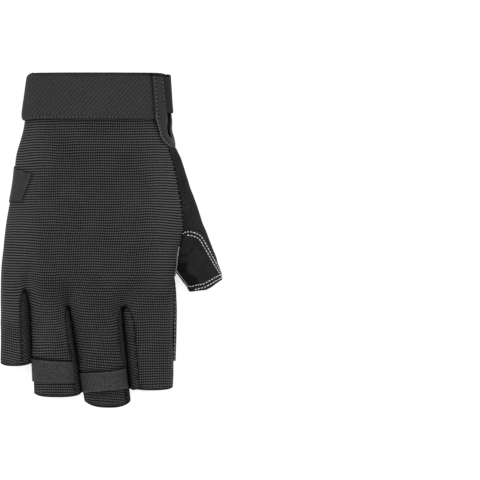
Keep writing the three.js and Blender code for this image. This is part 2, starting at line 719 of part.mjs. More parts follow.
// What lies on the skin
const layers = [
  ["cuff_band", "elastic", cuffSheet(), GAP, GAP + ELASTIC],
  ["slit_binding", "binding_tape", bindingSheet(), bindingLevel, (p) => bindingLevel(p) + TAPE],
  ["closure_tab", "hook_tape", tabSheet(), OVER_CUFF, OVER_CUFF + HOOK_TAPE],
  ["thumb_patch", "patch_suede", thumbPatchSheet(), 1.5 * GAP, 1.5 * GAP + PATCH],
  [
    "palm_patch",
    "patch_suede",
    palmPatchSheet(),
    palmPatchLevel,
    (p) => palmPatchLevel(p) + PATCH,
    PALM_PATCH.inset,
  ],
  ["side_label", "label", labelSheet(), 1.4 * GAP, 1.4 * GAP + LABEL],
  ...LOOPS.map((loop) => [
    `pull_loop_${loop.finger}`,
    "ribbon",
    loopSheet(loop),
    loopLift,
    (p, k) => loopLift(p, k) + RIBBON,
  ]),
];
for (const [name, material, sheet, lower, upper, inset = 0] of layers) {
  const normals = normalsOf(sheet);
  addMesh(name, material, sheet.trim(inset).solid(normals, lower, upper));
}

export default glove;
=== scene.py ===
# A half-finger climbing glove for the right hand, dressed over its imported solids.
# Surfaces are worked out in millimetres, in the frame of the solids: +X towards the thumb,
# +Y towards the wrist, +Z out of the back of the hand. Meshes are in metres.
import json
import math

import bpy
import numpy as np
from bpy.props import FloatProperty, FloatVectorProperty, PointerProperty
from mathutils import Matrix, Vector, noise
from mathutils.bvhtree import BVHTree

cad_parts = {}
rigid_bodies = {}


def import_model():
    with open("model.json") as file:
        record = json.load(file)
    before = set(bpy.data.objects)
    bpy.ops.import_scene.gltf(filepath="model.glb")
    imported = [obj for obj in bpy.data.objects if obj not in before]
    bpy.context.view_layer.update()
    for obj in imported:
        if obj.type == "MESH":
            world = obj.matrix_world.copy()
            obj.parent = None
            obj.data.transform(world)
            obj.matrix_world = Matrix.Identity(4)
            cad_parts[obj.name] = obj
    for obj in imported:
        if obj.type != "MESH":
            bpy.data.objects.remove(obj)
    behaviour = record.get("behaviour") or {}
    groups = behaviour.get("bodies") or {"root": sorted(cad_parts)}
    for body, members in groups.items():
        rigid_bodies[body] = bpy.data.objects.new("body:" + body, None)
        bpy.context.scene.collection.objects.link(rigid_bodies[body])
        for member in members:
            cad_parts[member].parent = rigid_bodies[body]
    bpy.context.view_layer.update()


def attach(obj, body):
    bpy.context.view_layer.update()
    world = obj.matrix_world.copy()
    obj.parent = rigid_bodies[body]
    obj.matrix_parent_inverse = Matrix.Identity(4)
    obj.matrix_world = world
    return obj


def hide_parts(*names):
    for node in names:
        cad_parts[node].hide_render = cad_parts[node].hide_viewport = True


bl_info = {
    "name": "Climbing glove",
    "version": (1, 0, 0),
    "blender": (4, 5, 0),
    "location": "3D View > Sidebar > Glove",
    "description": "Sews a half-finger climbing glove over its packed solids",
    "category": "Object",
}

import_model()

MM = 0.001

# Sizes of the solids, in millimetres
GLOVE_LENGTH = 180.0
PALM_WIDTH = 94.0
PALM_HEIGHT = 28.0
CUFF_WIDTH = 25.0
CUFF_OVERLAP = 5.0
KNUCKLE_LENGTH = 24.0
CROTCH_ROUND = 9.0
WEB_SLOPE = 5.0
FINGER_GAP = 0.9
THUMB_TOP = 40.0
THUMB_CROTCH = 107.0
CLOTH = 1.2
SUEDE = 1.2
PATCH = 1.0
ELASTIC = 1.5
TAPE = 1.0
HOOK_TAPE = 1.6
RIBBON = 1.0
LABEL = 1.0
GAP = 0.3
BINDING_WIDTH = 4.9
EDGE_WRAP = 1.5
TAB_WIDTH = 19.5
TAB_LENGTH = 58.0
TAB_INSET = 1.0
LOOP_WIDTH = 10.6
LOOP_SLACK = 0.8
LABEL_FOLD = 5.0
SOLE = PATCH + GAP
WRIST_LIFT = ELASTIC + HOOK_TAPE + 2 * GAP - SOLE
HALF = PALM_WIDTH / 2
BACK_ROUND = 2.35
PALM_ROUND = 3.0
PALM_SINK = 1.05
PANEL_TOP = GLOVE_LENGTH / 2 - (CUFF_WIDTH - CUFF_OVERLAP)
CUFF_TOP = GLOVE_LENGTH / 2
CUFF_BOTTOM = CUFF_TOP - CUFF_WIDTH
OVER_CUFF = 2 * GAP + ELASTIC
PALM_SEAM = 128.0
KNUCKLES, TIPS = 0.699, 0.97

# How the scene's pieces stop short of the solids' seams
PANEL_TRIM = 0.45
PALM_PATCH_TOP = 25.0
PALM_PATCH_END = 0.68
PALM_PATCH_MARGIN = 5.0


def table(names, rows):
    """Columns of numbers by name."""
    return dict(zip(names.split(), np.array(rows, float).T))


HAND = table("along little index crown side lift", [
    (0.0, -0.68, 0.84, 0.93, 0.5, 1),
    (0.142, -0.755, 0.88, 0.93, 0.49, 1),
    (0.205, -0.804, 0.93, 0.95, 0.47, 0.6),
    (0.255, -0.848, 0.975, 0.97, 0.455, 0.2),
    (0.325, -0.877, 1.03, 0.99, 0.44, 0),
    (0.46, -0.966, 1.09, 1.0, 0.42, 0),
    (0.53, -0.992, 1.03, 0.98, 0.41, 0),
    (0.6, -1.012, 0.97, 0.95, 0.4, 0),
    (0.7, -1.025, 0.96, 0.88, 0.4, 0),
])
INDEX_EDGES = table("along back palm", [
    (0.0, 64, 101),
    (0.142, 69, 98),
    (0.205, 71, 100),
    (0.27, 74, 127),
    (0.34, 76, 144),
    (0.4, 77, 150),
    (0.46, 79, 150),
    (0.505, 81, 141),
    (0.55, 84, 122),
    (0.594, 90, 90),
])
THUMB = table("along outer crest keel top", [
    (0.205, 0.965, 0.889, 0.922, 0.5),
    (0.27, 1.05, 0.957, 0.86, 0.52),
    (0.34, 1.15, 1.011, 0.76, 0.54),
    (0.4, 1.235, 1.06, 0.78, 0.57),
    (0.46, 1.313, 1.1, 0.88, 0.6),
    (0.505, 1.38, 1.14, 1.0, 0.625),
    (0.55, 1.445, 1.19, 1.13, 0.64),
    (0.594, 1.5, 1.235, 1.235, 0.65),
])
THUMB_INNER = (1.163, 0.657)
THUMB_OUTER = (1.497, 0.62)
THUMB_HEM_TOP, THUMB_HEM_BOW = 0.63, 0.05
SIDES = table("knuckle tip lean crotch", [
    (-1.025, -1.025, 0, 0.648),
    (-0.681, -0.638, 0.034, 0.648),
    (-0.23, -0.075, 0.0, 0.696),
    (0.362, 0.471, 0.0, 0.696),
    (0.96, 0.943, 0, 0.696),
])
FINGERS = table("hem drop crown crown_tip side rest seam_left seam_right", [
    (0.869, 0.05, 0.68, 0.62, 0.35, 0, 90, 30),
    (0.957, 0.08, 0.8, 0.73, 0.38, 0, 74, 48),
    (0.98, 0.13, 0.86, 0.78, 0.4, 0, 74, 56),
    (0.941, 0.05, 0.82, 0.75, 0.38, 1, 33, 90),
])
LITTLE, RING, MIDDLE, INDEX = range(4)
BACK, PALM = 0, 1


def lerp(a, b, t):
    return a + (b - a) * t


def smooth(value, low, high):
    t = np.clip((value - low) / (high - low), 0, 1)
    return t * t * (3 - 2 * t)


def bump(value, middle, width):
    """A rounded hump that is 1 at its middle."""
    return np.exp(-(((value - middle) / width) ** 2))


def y_at(along):
    return GLOVE_LENGTH * (0.5 - along)


def along_at(y):
    return 0.5 - y / GLOVE_LENGTH


def follow(columns, name, along):
    """A table's column on a smooth curve through its rows."""
    x, v = columns["along"], columns[name]
    along = np.clip(along, x[0], x[-1])
    order = np.arange(len(x))
    before, after = np.maximum(order - 1, 0), np.minimum(order + 1, len(x) - 1)
    slope = (v[after] - v[before]) / (x[after] - x[before])
    k = np.clip(np.searchsorted(x, along, side="right") - 1, 0, len(x) - 2)
    step = x[k + 1] - x[k]
    t = (along - x[k]) / step
    ends = slope[k] * t * (1 - t) ** 2 - slope[k + 1] * t * t * (1 - t)
    return lerp(v[k], v[k + 1], t * t * (3 - 2 * t)) + step * ends


class Section:
    """Two half superellipses that meet at the level of the sides."""

    def __init__(self, y, left, right, crown, side, sole, leans=(0.0, 0.0)):
        self.y, self.middle, self.half = y, (left + right) / 2, (right - left) / 2
        self.crown, self.side, self.sole, self.leans = crown, side, sole, leans

    def point(self, degrees):
        """The point at an angle from the crown, positive towards the index side."""
        sin, cos = np.sin(np.radians(degrees)), np.cos(np.radians(degrees))
        power = np.where(cos >= 0, 2 / BACK_ROUND, 2 / PALM_ROUND)
        across = np.sign(sin) * np.abs(sin) ** power
        reach = np.where(cos >= 0, self.crown - self.side, (self.side - self.sole) * PALM_SINK)
        z = np.maximum(self.side + np.sign(cos) * np.abs(cos) ** power * reach, self.sole)
        lean = lerp(self.leans[0], self.leans[1], (across + 1) / 2)
        x = self.middle + self.half * across - lean * (z - self.side) / (self.crown - self.side)
        return np.stack(np.broadcast_arrays(x, self.y, z), -1)


def hand_section(y):
    value = {name: follow(HAND, name, along_at(y)) for name in HAND}
    sole = SOLE + np.maximum(value["lift"], 0) * WRIST_LIFT
    crown, side = value["crown"] * PALM_HEIGHT, value["side"] * PALM_HEIGHT
    return Section(y, value["little"] * HALF, value["index"] * HALF, crown, side, sole)


def side_x(side, y):
    t = (along_at(y) - KNUCKLES) / (TIPS - KNUCKLES)
    return HALF * lerp(SIDES["knuckle"][side], SIDES["tip"][side], t)


def is_gap(side):
    return 0 < side < 4


def finger_section(finger, y):
    left = side_x(finger, y) + FINGER_GAP / 2 * is_gap(finger)
    right = side_x(finger + 1, y) - FINGER_GAP / 2 * is_gap(finger + 1)
    tip = (along_at(y) - KNUCKLES) / (TIPS - KNUCKLES)
    row = {name: column[finger] for name, column in FINGERS.items()}
    crown = lerp(row["crown"], row["crown_tip"], tip) * PALM_HEIGHT
    sole = SOLE * lerp(1, row["rest"], smooth(tip, 0.05, 0.4))
    leans = (SIDES["lean"][finger] * HALF, SIDES["lean"][finger + 1] * HALF)
    return Section(y, left, right, crown, row["side"] * PALM_HEIGHT, sole, leans)


def index_angles(y):
    """The angles at which the back panel and the palm end on the index side."""
    open_ = y > y_at(THUMB_CROTCH / GLOVE_LENGTH)
    back, palm = (follow(INDEX_EDGES, name, along_at(y)) for name in ("back", "palm"))
    return np.where(open_, back, 90.0), np.where(open_, palm, 90.0)


def lengths_along(points):
    steps = np.linalg.norm(np.diff(points, axis=-2), axis=-1)
    return np.concatenate([np.zeros_like(steps[..., :1]), np.cumsum(steps, -1)], -1)


def at_lengths(points, lengths, wanted):
    return np.stack([np.interp(wanted, lengths, points[:, k]) for k in range(3)], -1)


class Chart:
    """A surface that is kept as a fine grid and read between its points."""

    def __init__(self, rows, columns, points):
        self.rows, self.columns, self.points = rows, columns, points

    def at(self, row, column):
        r = np.interp(row, self.rows, np.arange(len(self.rows)))
        c = np.interp(column, self.columns, np.arange(len(self.columns)))
        i = np.minimum(r.astype(int), len(self.rows) - 2)
        j = np.minimum(c.astype(int), len(self.columns) - 2)
        s, t = (r - i)[..., None], (c - j)[..., None]
        p = self.points
        return lerp(lerp(p[i, j], p[i, j + 1], t), lerp(p[i + 1, j], p[i + 1, j + 1], t), s)


def hand_chart(end_of):
    """The hand without fingers: rows are -y, columns are shares of the way from the little side."""
    ys, shares = np.linspace(96, -66, 325), np.linspace(0, 1, 241)
    ends = end_of(ys)
    angles = -90 + (ends[:, None] + 90) * np.linspace(0, 1, 121)
    arcs = hand_section(ys[:, None]).point(angles)
    lengths = lengths_along(arcs)
    rows = [at_lengths(a, n, shares * n[-1]) for a, n in zip(arcs, lengths)]
    return Chart(-ys, shares, np.array(rows))


HANDS = [hand_chart(lambda y: index_angles(y)[0]), hand_chart(lambda y: index_angles(y)[1] - 360)]


def hand_shares(panel):
    """The share of the hand's width at which each finger's line starts."""
    y = y_at(KNUCKLES)
    shares = np.linspace(0, 1, 801)
    xs = HANDS[panel].at(np.full(801, -y), shares)[:, 0]
    return [0.0, *(float(np.interp(side_x(k, y), xs, shares)) for k in (1, 2, 3)), 1.0]


SHARES = [hand_shares(BACK), hand_shares(PALM)]


def seams(panel, finger):
    if panel == BACK:
        return -FINGERS["seam_left"][finger], FINGERS["seam_right"][finger]
    return (-PALM_SEAM if finger > 0 else -90.0), (PALM_SEAM - 360 if finger < 3 else -270.0)


def crotch_y(side, web):
    return y_at(SIDES["crotch"][side]) - WEB_SLOPE * web * is_gap(side)


def hem_y(finger, degrees):
    drop = FINGERS["drop"][finger] * PALM_HEIGHT
    return y_at(FINGERS["hem"][finger]) - drop * np.cos(np.radians(degrees))


def meeting(side, y, angles, web):
    """How far the two walls that face each other across a gap move to meet in the middle."""
    left = finger_section(side - 1, y).point(angles[0])
    right = finger_section(side, y).point(angles[1])
    drawn = 1 - np.sqrt(np.clip((crotch_y(side, web) - y) / CROTCH_ROUND, 0, 1))
    return (right - left) * np.asarray(drawn)[..., None] / 2


def panel_point(panel, finger, u, y):
    """A point of the back or the palm: u is 0 to 1 over one finger's share."""
    u, y = np.broadcast_arrays(np.asarray(u, float), np.asarray(y, float))
    start, end = seams(panel, finger)
    section = finger_section(finger, y)
    tube = section.point(lerp(start, end, u))
    for side, pull, way in ((finger, 1 - u, -1), (finger + 1, u, 1)):
        if is_gap(side):
            half = meeting(side, y, (seams(panel, side - 1)[1], seams(panel, side)[0]), panel)
            tube = tube + half * way * smooth(pull, 0.35, 1)[..., None]
    tube[..., 2] = np.maximum(tube[..., 2], section.sole)
    crotch = lerp(crotch_y(finger, panel), crotch_y(finger + 1, panel), u)
    blend = smooth(crotch + KNUCKLE_LENGTH - y, 0, KNUCKLE_LENGTH)[..., None]
    share = lerp(SHARES[panel][finger], SHARES[panel][finger + 1], u)
    return lerp(HANDS[panel].at(-y, share), tube, blend)


def web_point(side, finger, q, k):
    """The strip in a gap: q from the back to the palm, k from the crotch to the hem."""
    q, k = np.broadcast_arrays(np.asarray(q, float), np.asarray(k, float))
    ends = (FINGERS["seam_right"][side - 1], -FINGERS["seam_left"][side])
    angles = [lerp(end, sign * PALM_SEAM, q) for end, sign in zip(ends, (1, -1))]
    own = 0 if finger < side else 1
    crotch = y_at(SIDES["crotch"][side]) - WEB_SLOPE * q
    y = lerp(crotch, hem_y(finger, angles[own]), k)
    left = finger_section(side - 1, y).point(angles[0])
    right = finger_section(side, y).point(angles[1])
    drawn = 1 - np.sqrt(np.clip((crotch - y) / CROTCH_ROUND, 0, 1))
    half = (right - left) * drawn[..., None] / 2
    return (right - half) if own else (left + half)


def quarter(level, upright):
    """A quarter turn: level at the first point and upright at the second."""
    t = np.linspace(0, 1, 25)[:, None] * math.pi / 2
    sin, cos = np.sin(t) ** 0.9, np.clip(np.cos(t), 0, 1) ** 0.9
    xy = lerp(level[:2], upright[:2], sin)
    return np.concatenate([xy, lerp(upright[2:], level[2:], cos)], -1)


def thumb_row(seam_top, crest, outer, keel, seam_palm):
    return np.concatenate([
        quarter(crest, seam_top)[::-1],
        quarter(crest, outer)[1:],
        quarter(keel, outer)[::-1][1:],
        quarter(keel, seam_palm)[1:],
    ])


def thumb_base_row(down):
    y = lerp(y_at(THUMB_TOP / GLOVE_LENGTH), y_at(THUMB_CROTCH / GLOVE_LENGTH), down)
    section = hand_section(y)
    row = {name: float(follow(THUMB, name, along_at(y))) for name in THUMB}
    back, palm = (float(a) for a in index_angles(np.array(y + 1e-6)))
    seam_top, seam_palm = section.point(back), section.point(palm)
    crest_x, keel_x = max(row["crest"] * HALF, seam_top[0]), max(row["keel"] * HALF, seam_palm[0])
    crest = np.array([crest_x, y, max(row["top"] * PALM_HEIGHT, seam_top[2])])
    if crest_x - seam_top[0] < GAP:
        crest = seam_top
    keel = np.array([keel_x, y, float(section.sole) * (1 - smooth(down, 0.1, 0.5))])
    if keel_x - seam_palm[0] < GAP:
        keel = seam_palm
    middle = (min(crest[2], seam_top[2]) + keel[2]) / 2
    return thumb_row(seam_top, crest, np.array([row["outer"] * HALF, y, middle]), keel, seam_palm)


def thumb_hem_row():
    top = THUMB_HEM_TOP * PALM_HEIGHT
    ends = (THUMB_INNER, THUMB_OUTER)
    inner, outer = (np.array([x * HALF, y_at(along), top / 2]) for x, along in ends)
    crest, keel = (inner + outer) / 2, (inner + outer) / 2
    crest[1] -= THUMB_HEM_BOW * PALM_HEIGHT
    keel[1] = crest[1]
    crest[2], keel[2] = top, 0
    row = thumb_row(inner, crest, outer, keel, inner)
    lengths = lengths_along(row)
    side = np.minimum(lengths, lengths[-1] - lengths) / lengths[-1]
    row[:, 1] -= 0.9 * bump(side, 0.33, 0.11)
    return row


def thumb_chart():
    """The thumb: rows run from its top, 0, over its crotch, 1, to its hem, 2."""
    downs, arounds = np.linspace(0, 2, 161), np.linspace(0, 1, 161)

    def even(row):
        lengths = lengths_along(row)
        return at_lengths(row, lengths, arounds * lengths[-1])

    base, hem = even(thumb_base_row(1.0)), even(thumb_hem_row())
    rows = [even(thumb_base_row(d)) if d < 1 else lerp(base, hem, d - 1) for d in downs]
    return Chart(downs, arounds, np.array(rows))


THUMBS = thumb_chart()


def wrist_chart():
    """The wrist: columns are distances round from the middle of the slit."""
    ys, reach = np.linspace(96, 30, 133), np.linspace(-110, 110, 881)
    back, palm = index_angles(ys)
    rows = []
    for y, middle in zip(ys, (back + palm) / 2):
        section = hand_section(np.array(y))
        ways = [section.point(np.linspace(middle, middle + turn, 161)) for turn in (-200, 200)]
        sides = [at_lengths(way, lengths_along(way), np.abs(reach)) for way in ways]
        rows.append(np.where(reach[:, None] < 0, *sides))
    return Chart(-ys, reach, np.array(rows))


WRISTS = wrist_chart()


def wrist_point(reach, y):
    reach, y = np.broadcast_arrays(np.asarray(reach, float), np.asarray(y, float))
    return WRISTS.at(-y, reach)


def slit_half(y):
    section = hand_section(y)
    back, palm = index_angles(y)
    return np.linalg.norm(section.point(back) - section.point(palm), axis=-1) / 2


def slit_edge(y):
    """The distance from the middle of the slit to the binding's inner edge."""
    return slit_half(y) - EDGE_WRAP


def unit(vectors):
    return vectors / np.maximum(np.linalg.norm(vectors, axis=-1, keepdims=True), 1e-9)


def unrolled(points):
    """Distances over a grid of points, across from its middle column and down from its first row."""
    across = lengths_along(points)
    middle = points.shape[1] // 2
    down = lengths_along(points[:, middle])
    across = across - across[:, middle : middle + 1]
    return np.stack([across, np.broadcast_to(down[:, None], across.shape)], -1)


def ripple(points, size, seed):
    """Smooth noise from -1 to 1, of a given size in millimetres on each axis."""
    scaled = points / np.array(size, float) + seed * 17.3
    return np.array([noise.noise(Vector(p)) for p in scaled.reshape(-1, 3)]).reshape(points.shape[:-1])


class Sheet:
    """Quads over grids of points. Points in one place become one point."""

    def __init__(self):
        self.total = 0
        self.raw, self.cells = [], []
        self.grid_share, self.shade = None, None

    def grid(self, points, uv=None, flip=False, mark=None):
        uv = unrolled(points) if uv is None else uv
        mark = np.zeros(points.shape[:2]) if mark is None else np.broadcast_to(mark, points.shape[:2])
        ids = self.total + np.arange(points.shape[0] * points.shape[1]).reshape(points.shape[:2])
        self.total += ids.size
        faces = np.stack([ids[:-1, :-1], ids[1:, :-1], ids[1:, 1:], ids[:-1, 1:]], -1).reshape(-1, 4)
        self.cells.append(faces[:, ::-1] if flip else faces)
        self.raw.append(np.concatenate([points, uv, mark[..., None]], -1).reshape(-1, 6))
        return self

    def weld(self):
        raw, cells = np.concatenate(self.raw), np.concatenate(self.cells)
        rounded = np.round(raw[:, :3], 3)
        _, first, place = np.unique(rounded, axis=0, return_index=True, return_inverse=True)
        self.points, self.uv, self.mark = raw[first, :3], raw[first, 3:5], raw[first, 5]
        self.corner_uv, self.faces = raw[cells, 3:5], place.reshape(-1)[cells]
        return self

    def normals(self):
        p = self.points[self.faces]
        across = np.cross(p[:, 2] - p[:, 0], p[:, 3] - p[:, 1])
        sums = np.zeros_like(self.points)
        for k in range(4):
            np.add.at(sums, self.faces[:, k], across)
        return unit(sums)

    def rim(self):
        """Edges that only one face has, in its direction, with the face of each."""
        a = self.faces.reshape(-1)
        b = np.roll(self.faces, -1, axis=1).reshape(-1)
        count = len(self.points)
        alone = ~np.isin(a * count + b, b * count + a)
        return a[alone], b[alone], np.repeat(np.arange(len(self.faces)), 4)[alone]

    def outward(self):
        """For each point of the rim, the way out of the sheet."""
        a, b, face = self.rim()
        edge = unit(self.points[b] - self.points[a])
        way = self.points[a] - self.points[self.faces[face]].mean(1)
        way = unit(way - edge * (way * edge).sum(-1, keepdims=True))
        sums = np.zeros_like(self.points)
        for ends in (a, b):
            np.add.at(sums, ends, way)
        return unit(sums)

    def trim(self, distance):
        self.points = self.points - self.outward() * distance
        return self

    def push(self, height):
        self.points = self.points + self.normals() * np.asarray(height)[..., None]
        return self

    def from_rim(self, most=12.0):
        """How far each point is from the rim."""
        a, _, _ = self.rim()
        rim = self.points[np.unique(a)]
        near = np.full(len(self.points), most)
        for block in np.array_split(np.arange(len(self.points)), max(len(self.points) // 2000, 1)):
            gaps = np.linalg.norm(self.points[block, None] - rim[None], axis=-1)
            near[block] = np.minimum(gaps.min(1), most)
        return near

    def solid(self, name, lower, upper, round_=0.8):
        """A mesh of the wall between two distances from the sheet, with a rounded rim."""
        normals, out, rim = self.normals(), self.outward(), self.from_rim()
        count = len(self.points)
        lower, upper = (np.broadcast_to(np.asarray(v, float), count)[:, None] for v in (lower, upper))
        a, b, _ = self.rim()
        used = np.unique(a)
        ring_of = np.full(count, -1)
        ring_of[used] = np.arange(len(used))
        layers = [self.points + normals * upper, self.points + normals * lower]
        half, middle = (upper - lower)[used] / 2, (upper + lower)[used] / 2
        turns = np.radians([40, 90, 140])
        for turn in turns:
            level = middle + half * math.cos(turn)
            reach = half * math.sin(turn) * round_
            layers.append(self.points[used] + normals[used] * level + out[used] * reach)
        points = np.concatenate(layers)
        points[:, 2] = np.maximum(points[:, 2], 0)
        rings = [(a, b)]
        for k in range(3):
            start = 2 * count + k * len(used)
            rings.append((start + ring_of[a], start + ring_of[b]))
        rings.append((a + count, b + count))
        faces = [self.faces, self.faces[:, ::-1] + count]
        uvs = [self.corner_uv, self.corner_uv[:, ::-1]]
        for (a0, b0), (a1, b1) in zip(rings, rings[1:]):
            faces.append(np.stack([a0, a1, b1, b0], -1))
            uvs.append(np.stack([self.uv[a], self.uv[a], self.uv[b], self.uv[b]], 1))
        source = np.concatenate([np.arange(count), np.arange(count), *[used] * 3])
        inner = np.concatenate([np.zeros(count), np.ones(count), *[np.full(len(used), 0.3)] * 3])
        grid = self.grid_share if self.grid_share is not None else np.full(count, 0.6)
        shade = self.shade if self.shade is not None else np.ones(count)
        # The shade attribute carries each piece's painted shade and painted light into its material.
        values = {"edge": rim[source], "grid": grid[source], "shade": shade[source], "inside": inner}
        return made_mesh(name, points, np.concatenate(faces), np.concatenate(uvs), values)


def made_mesh(name, points, faces, uvs, values):
    mesh = bpy.data.meshes.new(name)
    mesh.from_pydata((points * MM).tolist(), [], faces.tolist())
    layer = mesh.uv_layers.new(name="UVMap")
    layer.data.foreach_set("uv", uvs.reshape(-1).astype(np.float32))
    for key, value in values.items():
        mesh.attributes.new(key, "FLOAT", "POINT").data.foreach_set("value", value.astype(np.float32))
    mesh.polygons.foreach_set("use_smooth", np.ones(len(faces), bool))
    mesh.validate(clean_customdata=False)
    piece = bpy.data.objects.new(name, mesh)
    bpy.context.scene.collection.objects.link(piece)
    return piece


def to_line(points, line):
    """How far each point is from a line of points."""
    near = np.empty(len(points))
    for block in np.array_split(np.arange(len(points)), max(len(points) // 2000, 1)):
        near[block] = np.linalg.norm(points[block, None] - line[None], axis=-1).min(1)
    return near


def sewn(piece, material, slot, *nodes):
    """Gives a piece its material and its place in the frame."""
    piece.data.materials.clear()
    piece.data.materials.append(material)
    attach(piece, "root")
    if nodes:
        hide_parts(*nodes)


class Number:
    """A shader's number, on which Python's operators add Math nodes."""

    def __init__(self, finish, socket):
        self.finish, self.socket = finish, socket

    def __add__(self, other):
        return self.finish.math("ADD", self, other)

    def __sub__(self, other):
        return self.finish.math("SUBTRACT", self, other)

    def __rsub__(self, other):
        return self.finish.math("SUBTRACT", other, self)

    def __mul__(self, other):
        return self.finish.math("MULTIPLY", self, other)

    def __truediv__(self, other):
        return self.finish.math("DIVIDE", self, other)

    def __pow__(self, other):
        return self.finish.math("POWER", self, other)

    __radd__, __rmul__ = __add__, __mul__


class Nodes:
    """A node tree that is built node by node."""

    def __init__(self, tree):
        self.tree = tree

    def node(self, kind, settings=None, inputs=None, output=0):
        """Adds a node: its settings first, then its sockets by name or number."""
        node = self.tree.nodes.new(kind)
        for key, value in (settings or {}).items():
            setattr(node, key, value)
        for key, value in (inputs or {}).items():
            self.feed(node.inputs[key], value)
        return node.outputs[output]

    def feed(self, socket, value):
        value = value.socket if isinstance(value, Number) else value
        if isinstance(value, bpy.types.NodeSocket):
            self.tree.links.new(value, socket)
        else:
            socket.default_value = value

    def math(self, operation, *values):
        inputs = dict(enumerate(values))
        return Number(self, self.node("ShaderNodeMath", {"operation": operation}, inputs))


class Finish(Nodes):
    """A material with one Principled shader."""

    def __init__(self, name, **constants):
        self.material = bpy.data.materials.new(name)
        self.material.use_nodes = True
        super().__init__(self.material.node_tree)
        self.shader = self.tree.nodes["Principled BSDF"]
        for key, value in constants.items():
            self.shader.inputs[key.replace("_", " ")].default_value = value

    def cosine(self, value):
        """A wave between 0 and 1 with one crest for each whole number."""
        return self.math("COSINE", value * (2 * math.pi)) * 0.5 + 0.5

    def ramp(self, value, low, high):
        """0 to 1 on a smooth curve between two values."""
        inputs = {"Value": value, "From Min": low, "From Max": high}
        settings = {"interpolation_type": "SMOOTHSTEP"}
        return Number(self, self.node("ShaderNodeMapRange", settings, inputs))

    def colour(self, factor, first, second):
        inputs = {0: factor, 6: first, 7: second}
        return self.node("ShaderNodeMix", {"data_type": "RGBA"}, inputs, 2)

    def shaded(self, colour, factor):
        """A colour times a number."""
        inputs = {0: colour, "Scale": factor}
        return self.node("ShaderNodeVectorMath", {"operation": "SCALE"}, inputs)

    def spots(self, size, detail=2.0, roughness=0.5, vector=None):
        """Noise of about 0 to 1, of a size in millimetres."""
        vector = vector or self.node("ShaderNodeTexCoord", output=3)
        inputs = {"Vector": vector, "Scale": 1000 / size, "Detail": detail, "Roughness": roughness}
        return Number(self, self.node("ShaderNodeTexNoise", inputs=inputs))

    def cloth_place(self):
        """Distances across and along the cloth, in millimetres."""
        uv = self.node("ShaderNodeUVMap", {"uv_map": "UVMap"})
        parts = self.tree.nodes.new("ShaderNodeSeparateXYZ")
        self.tree.links.new(uv, parts.inputs[0])
        return Number(self, parts.outputs[0]), Number(self, parts.outputs[1])

    def stored(self, name):
        return Number(self, self.node("ShaderNodeAttribute", {"attribute_name": name}, output=2))

    def relief(self, height, depth):
        """Bumps of a depth in millimetres."""
        inputs = {"Height": height, "Distance": depth * MM, "Strength": 1.0}
        self.feed(self.shader.inputs["Normal"], self.node("ShaderNodeBump", inputs=inputs))

    def paint(self, colour, roughness=None):
        self.feed(self.shader.inputs["Base Color"], colour)
        if roughness is not None:
            self.feed(self.shader.inputs["Roughness"], roughness)
        return self.material


def tone(colour, share):
    """A colour made darker or lighter, for a socket."""
    return (*[min(c * share, 1) for c in colour[:3]], 1.0)


def ribbed_cloth(name, painted_light=1.0):
    """Stretch cloth of raised cross ribs, broken up where its lengthwise wales show."""
    cloth = settings().cloth
    f = Finish(name, Specular_IOR_Level=0.16, Roughness=0.75)
    u, v = f.cloth_place()
    drift = f.spots(26.0, 1.0)
    v = v + (drift - 0.5) * 2.2 + (f.spots(7.0, 1.0) - 0.5) * 0.5
    u = u + (f.spots(30.0, 1.0) - 0.5) * 1.6
    rib = f.cosine(v / (cloth.rib_pitch / MM))
    wale = f.cosine(u / (cloth.wale_pitch / MM))
    grid = f.ramp(f.stored("grid"), 0.05, 0.8) * (0.55 + 0.7 * f.spots(14.0, 1.0))
    broken = 1 - (1 - wale) * f.math("MINIMUM", 0.1 + 0.85 * grid, 0.95)
    yarn = f.spots(0.8, 1.0)
    height = rib * broken
    # Painted shade: the cloth is made darker within about a millimetre of its rim, along its seams and
    # edges.
    seam = f.ramp(f.stored("edge"), 0.0, 1.1) * 0.4 + 0.6
    # The crest and groove colours are partly the cloth's ribbed look and partly painted light on the
    # crests and painted shade in the grooves.
    light = (rib ** 1.35) * broken * (0.5 + yarn)
    colour = f.colour(light, tone(cloth.rib_gap, painted_light), tone(cloth.rib_crest, painted_light))
    f.relief(height + yarn * 0.15, cloth.rib_depth / MM)
    shade = seam * f.stored("shade") * (1.15 - 0.3 * drift) * (0.84 + 0.16 * grid)
    return f.paint(f.shaded(colour, shade), 0.86 - 0.16 * light)


def suede(name, colour, nap, mottle, level=0.12):
    """Short napped leather: fine specks, brushed patches and a faint grain."""
    f = Finish(name, Specular_IOR_Level=level, Roughness=0.85)
    speck = f.spots(1.1, 3.0, 0.7)
    brushed = f.spots(9.0, 3.0, 0.6)
    crease = f.spots(3.4, 2.0, 0.6)
    # Lighter within 1.6 mm of the rim.
    paler_by_rim = 1 - f.ramp(f.stored("edge"), 0.0, 1.6)
    light = (speck - 0.5) * nap + (brushed - 0.5) * mottle + paler_by_rim * 0.25 + 0.5
    paint = f.shaded(f.colour(light, tone(colour, 0.45), tone(colour, 1.65)), f.stored("shade"))
    f.relief(speck * 0.5 + crease * 0.9, 0.35)
    return f.paint(paint, 0.95 - 0.2 * brushed)


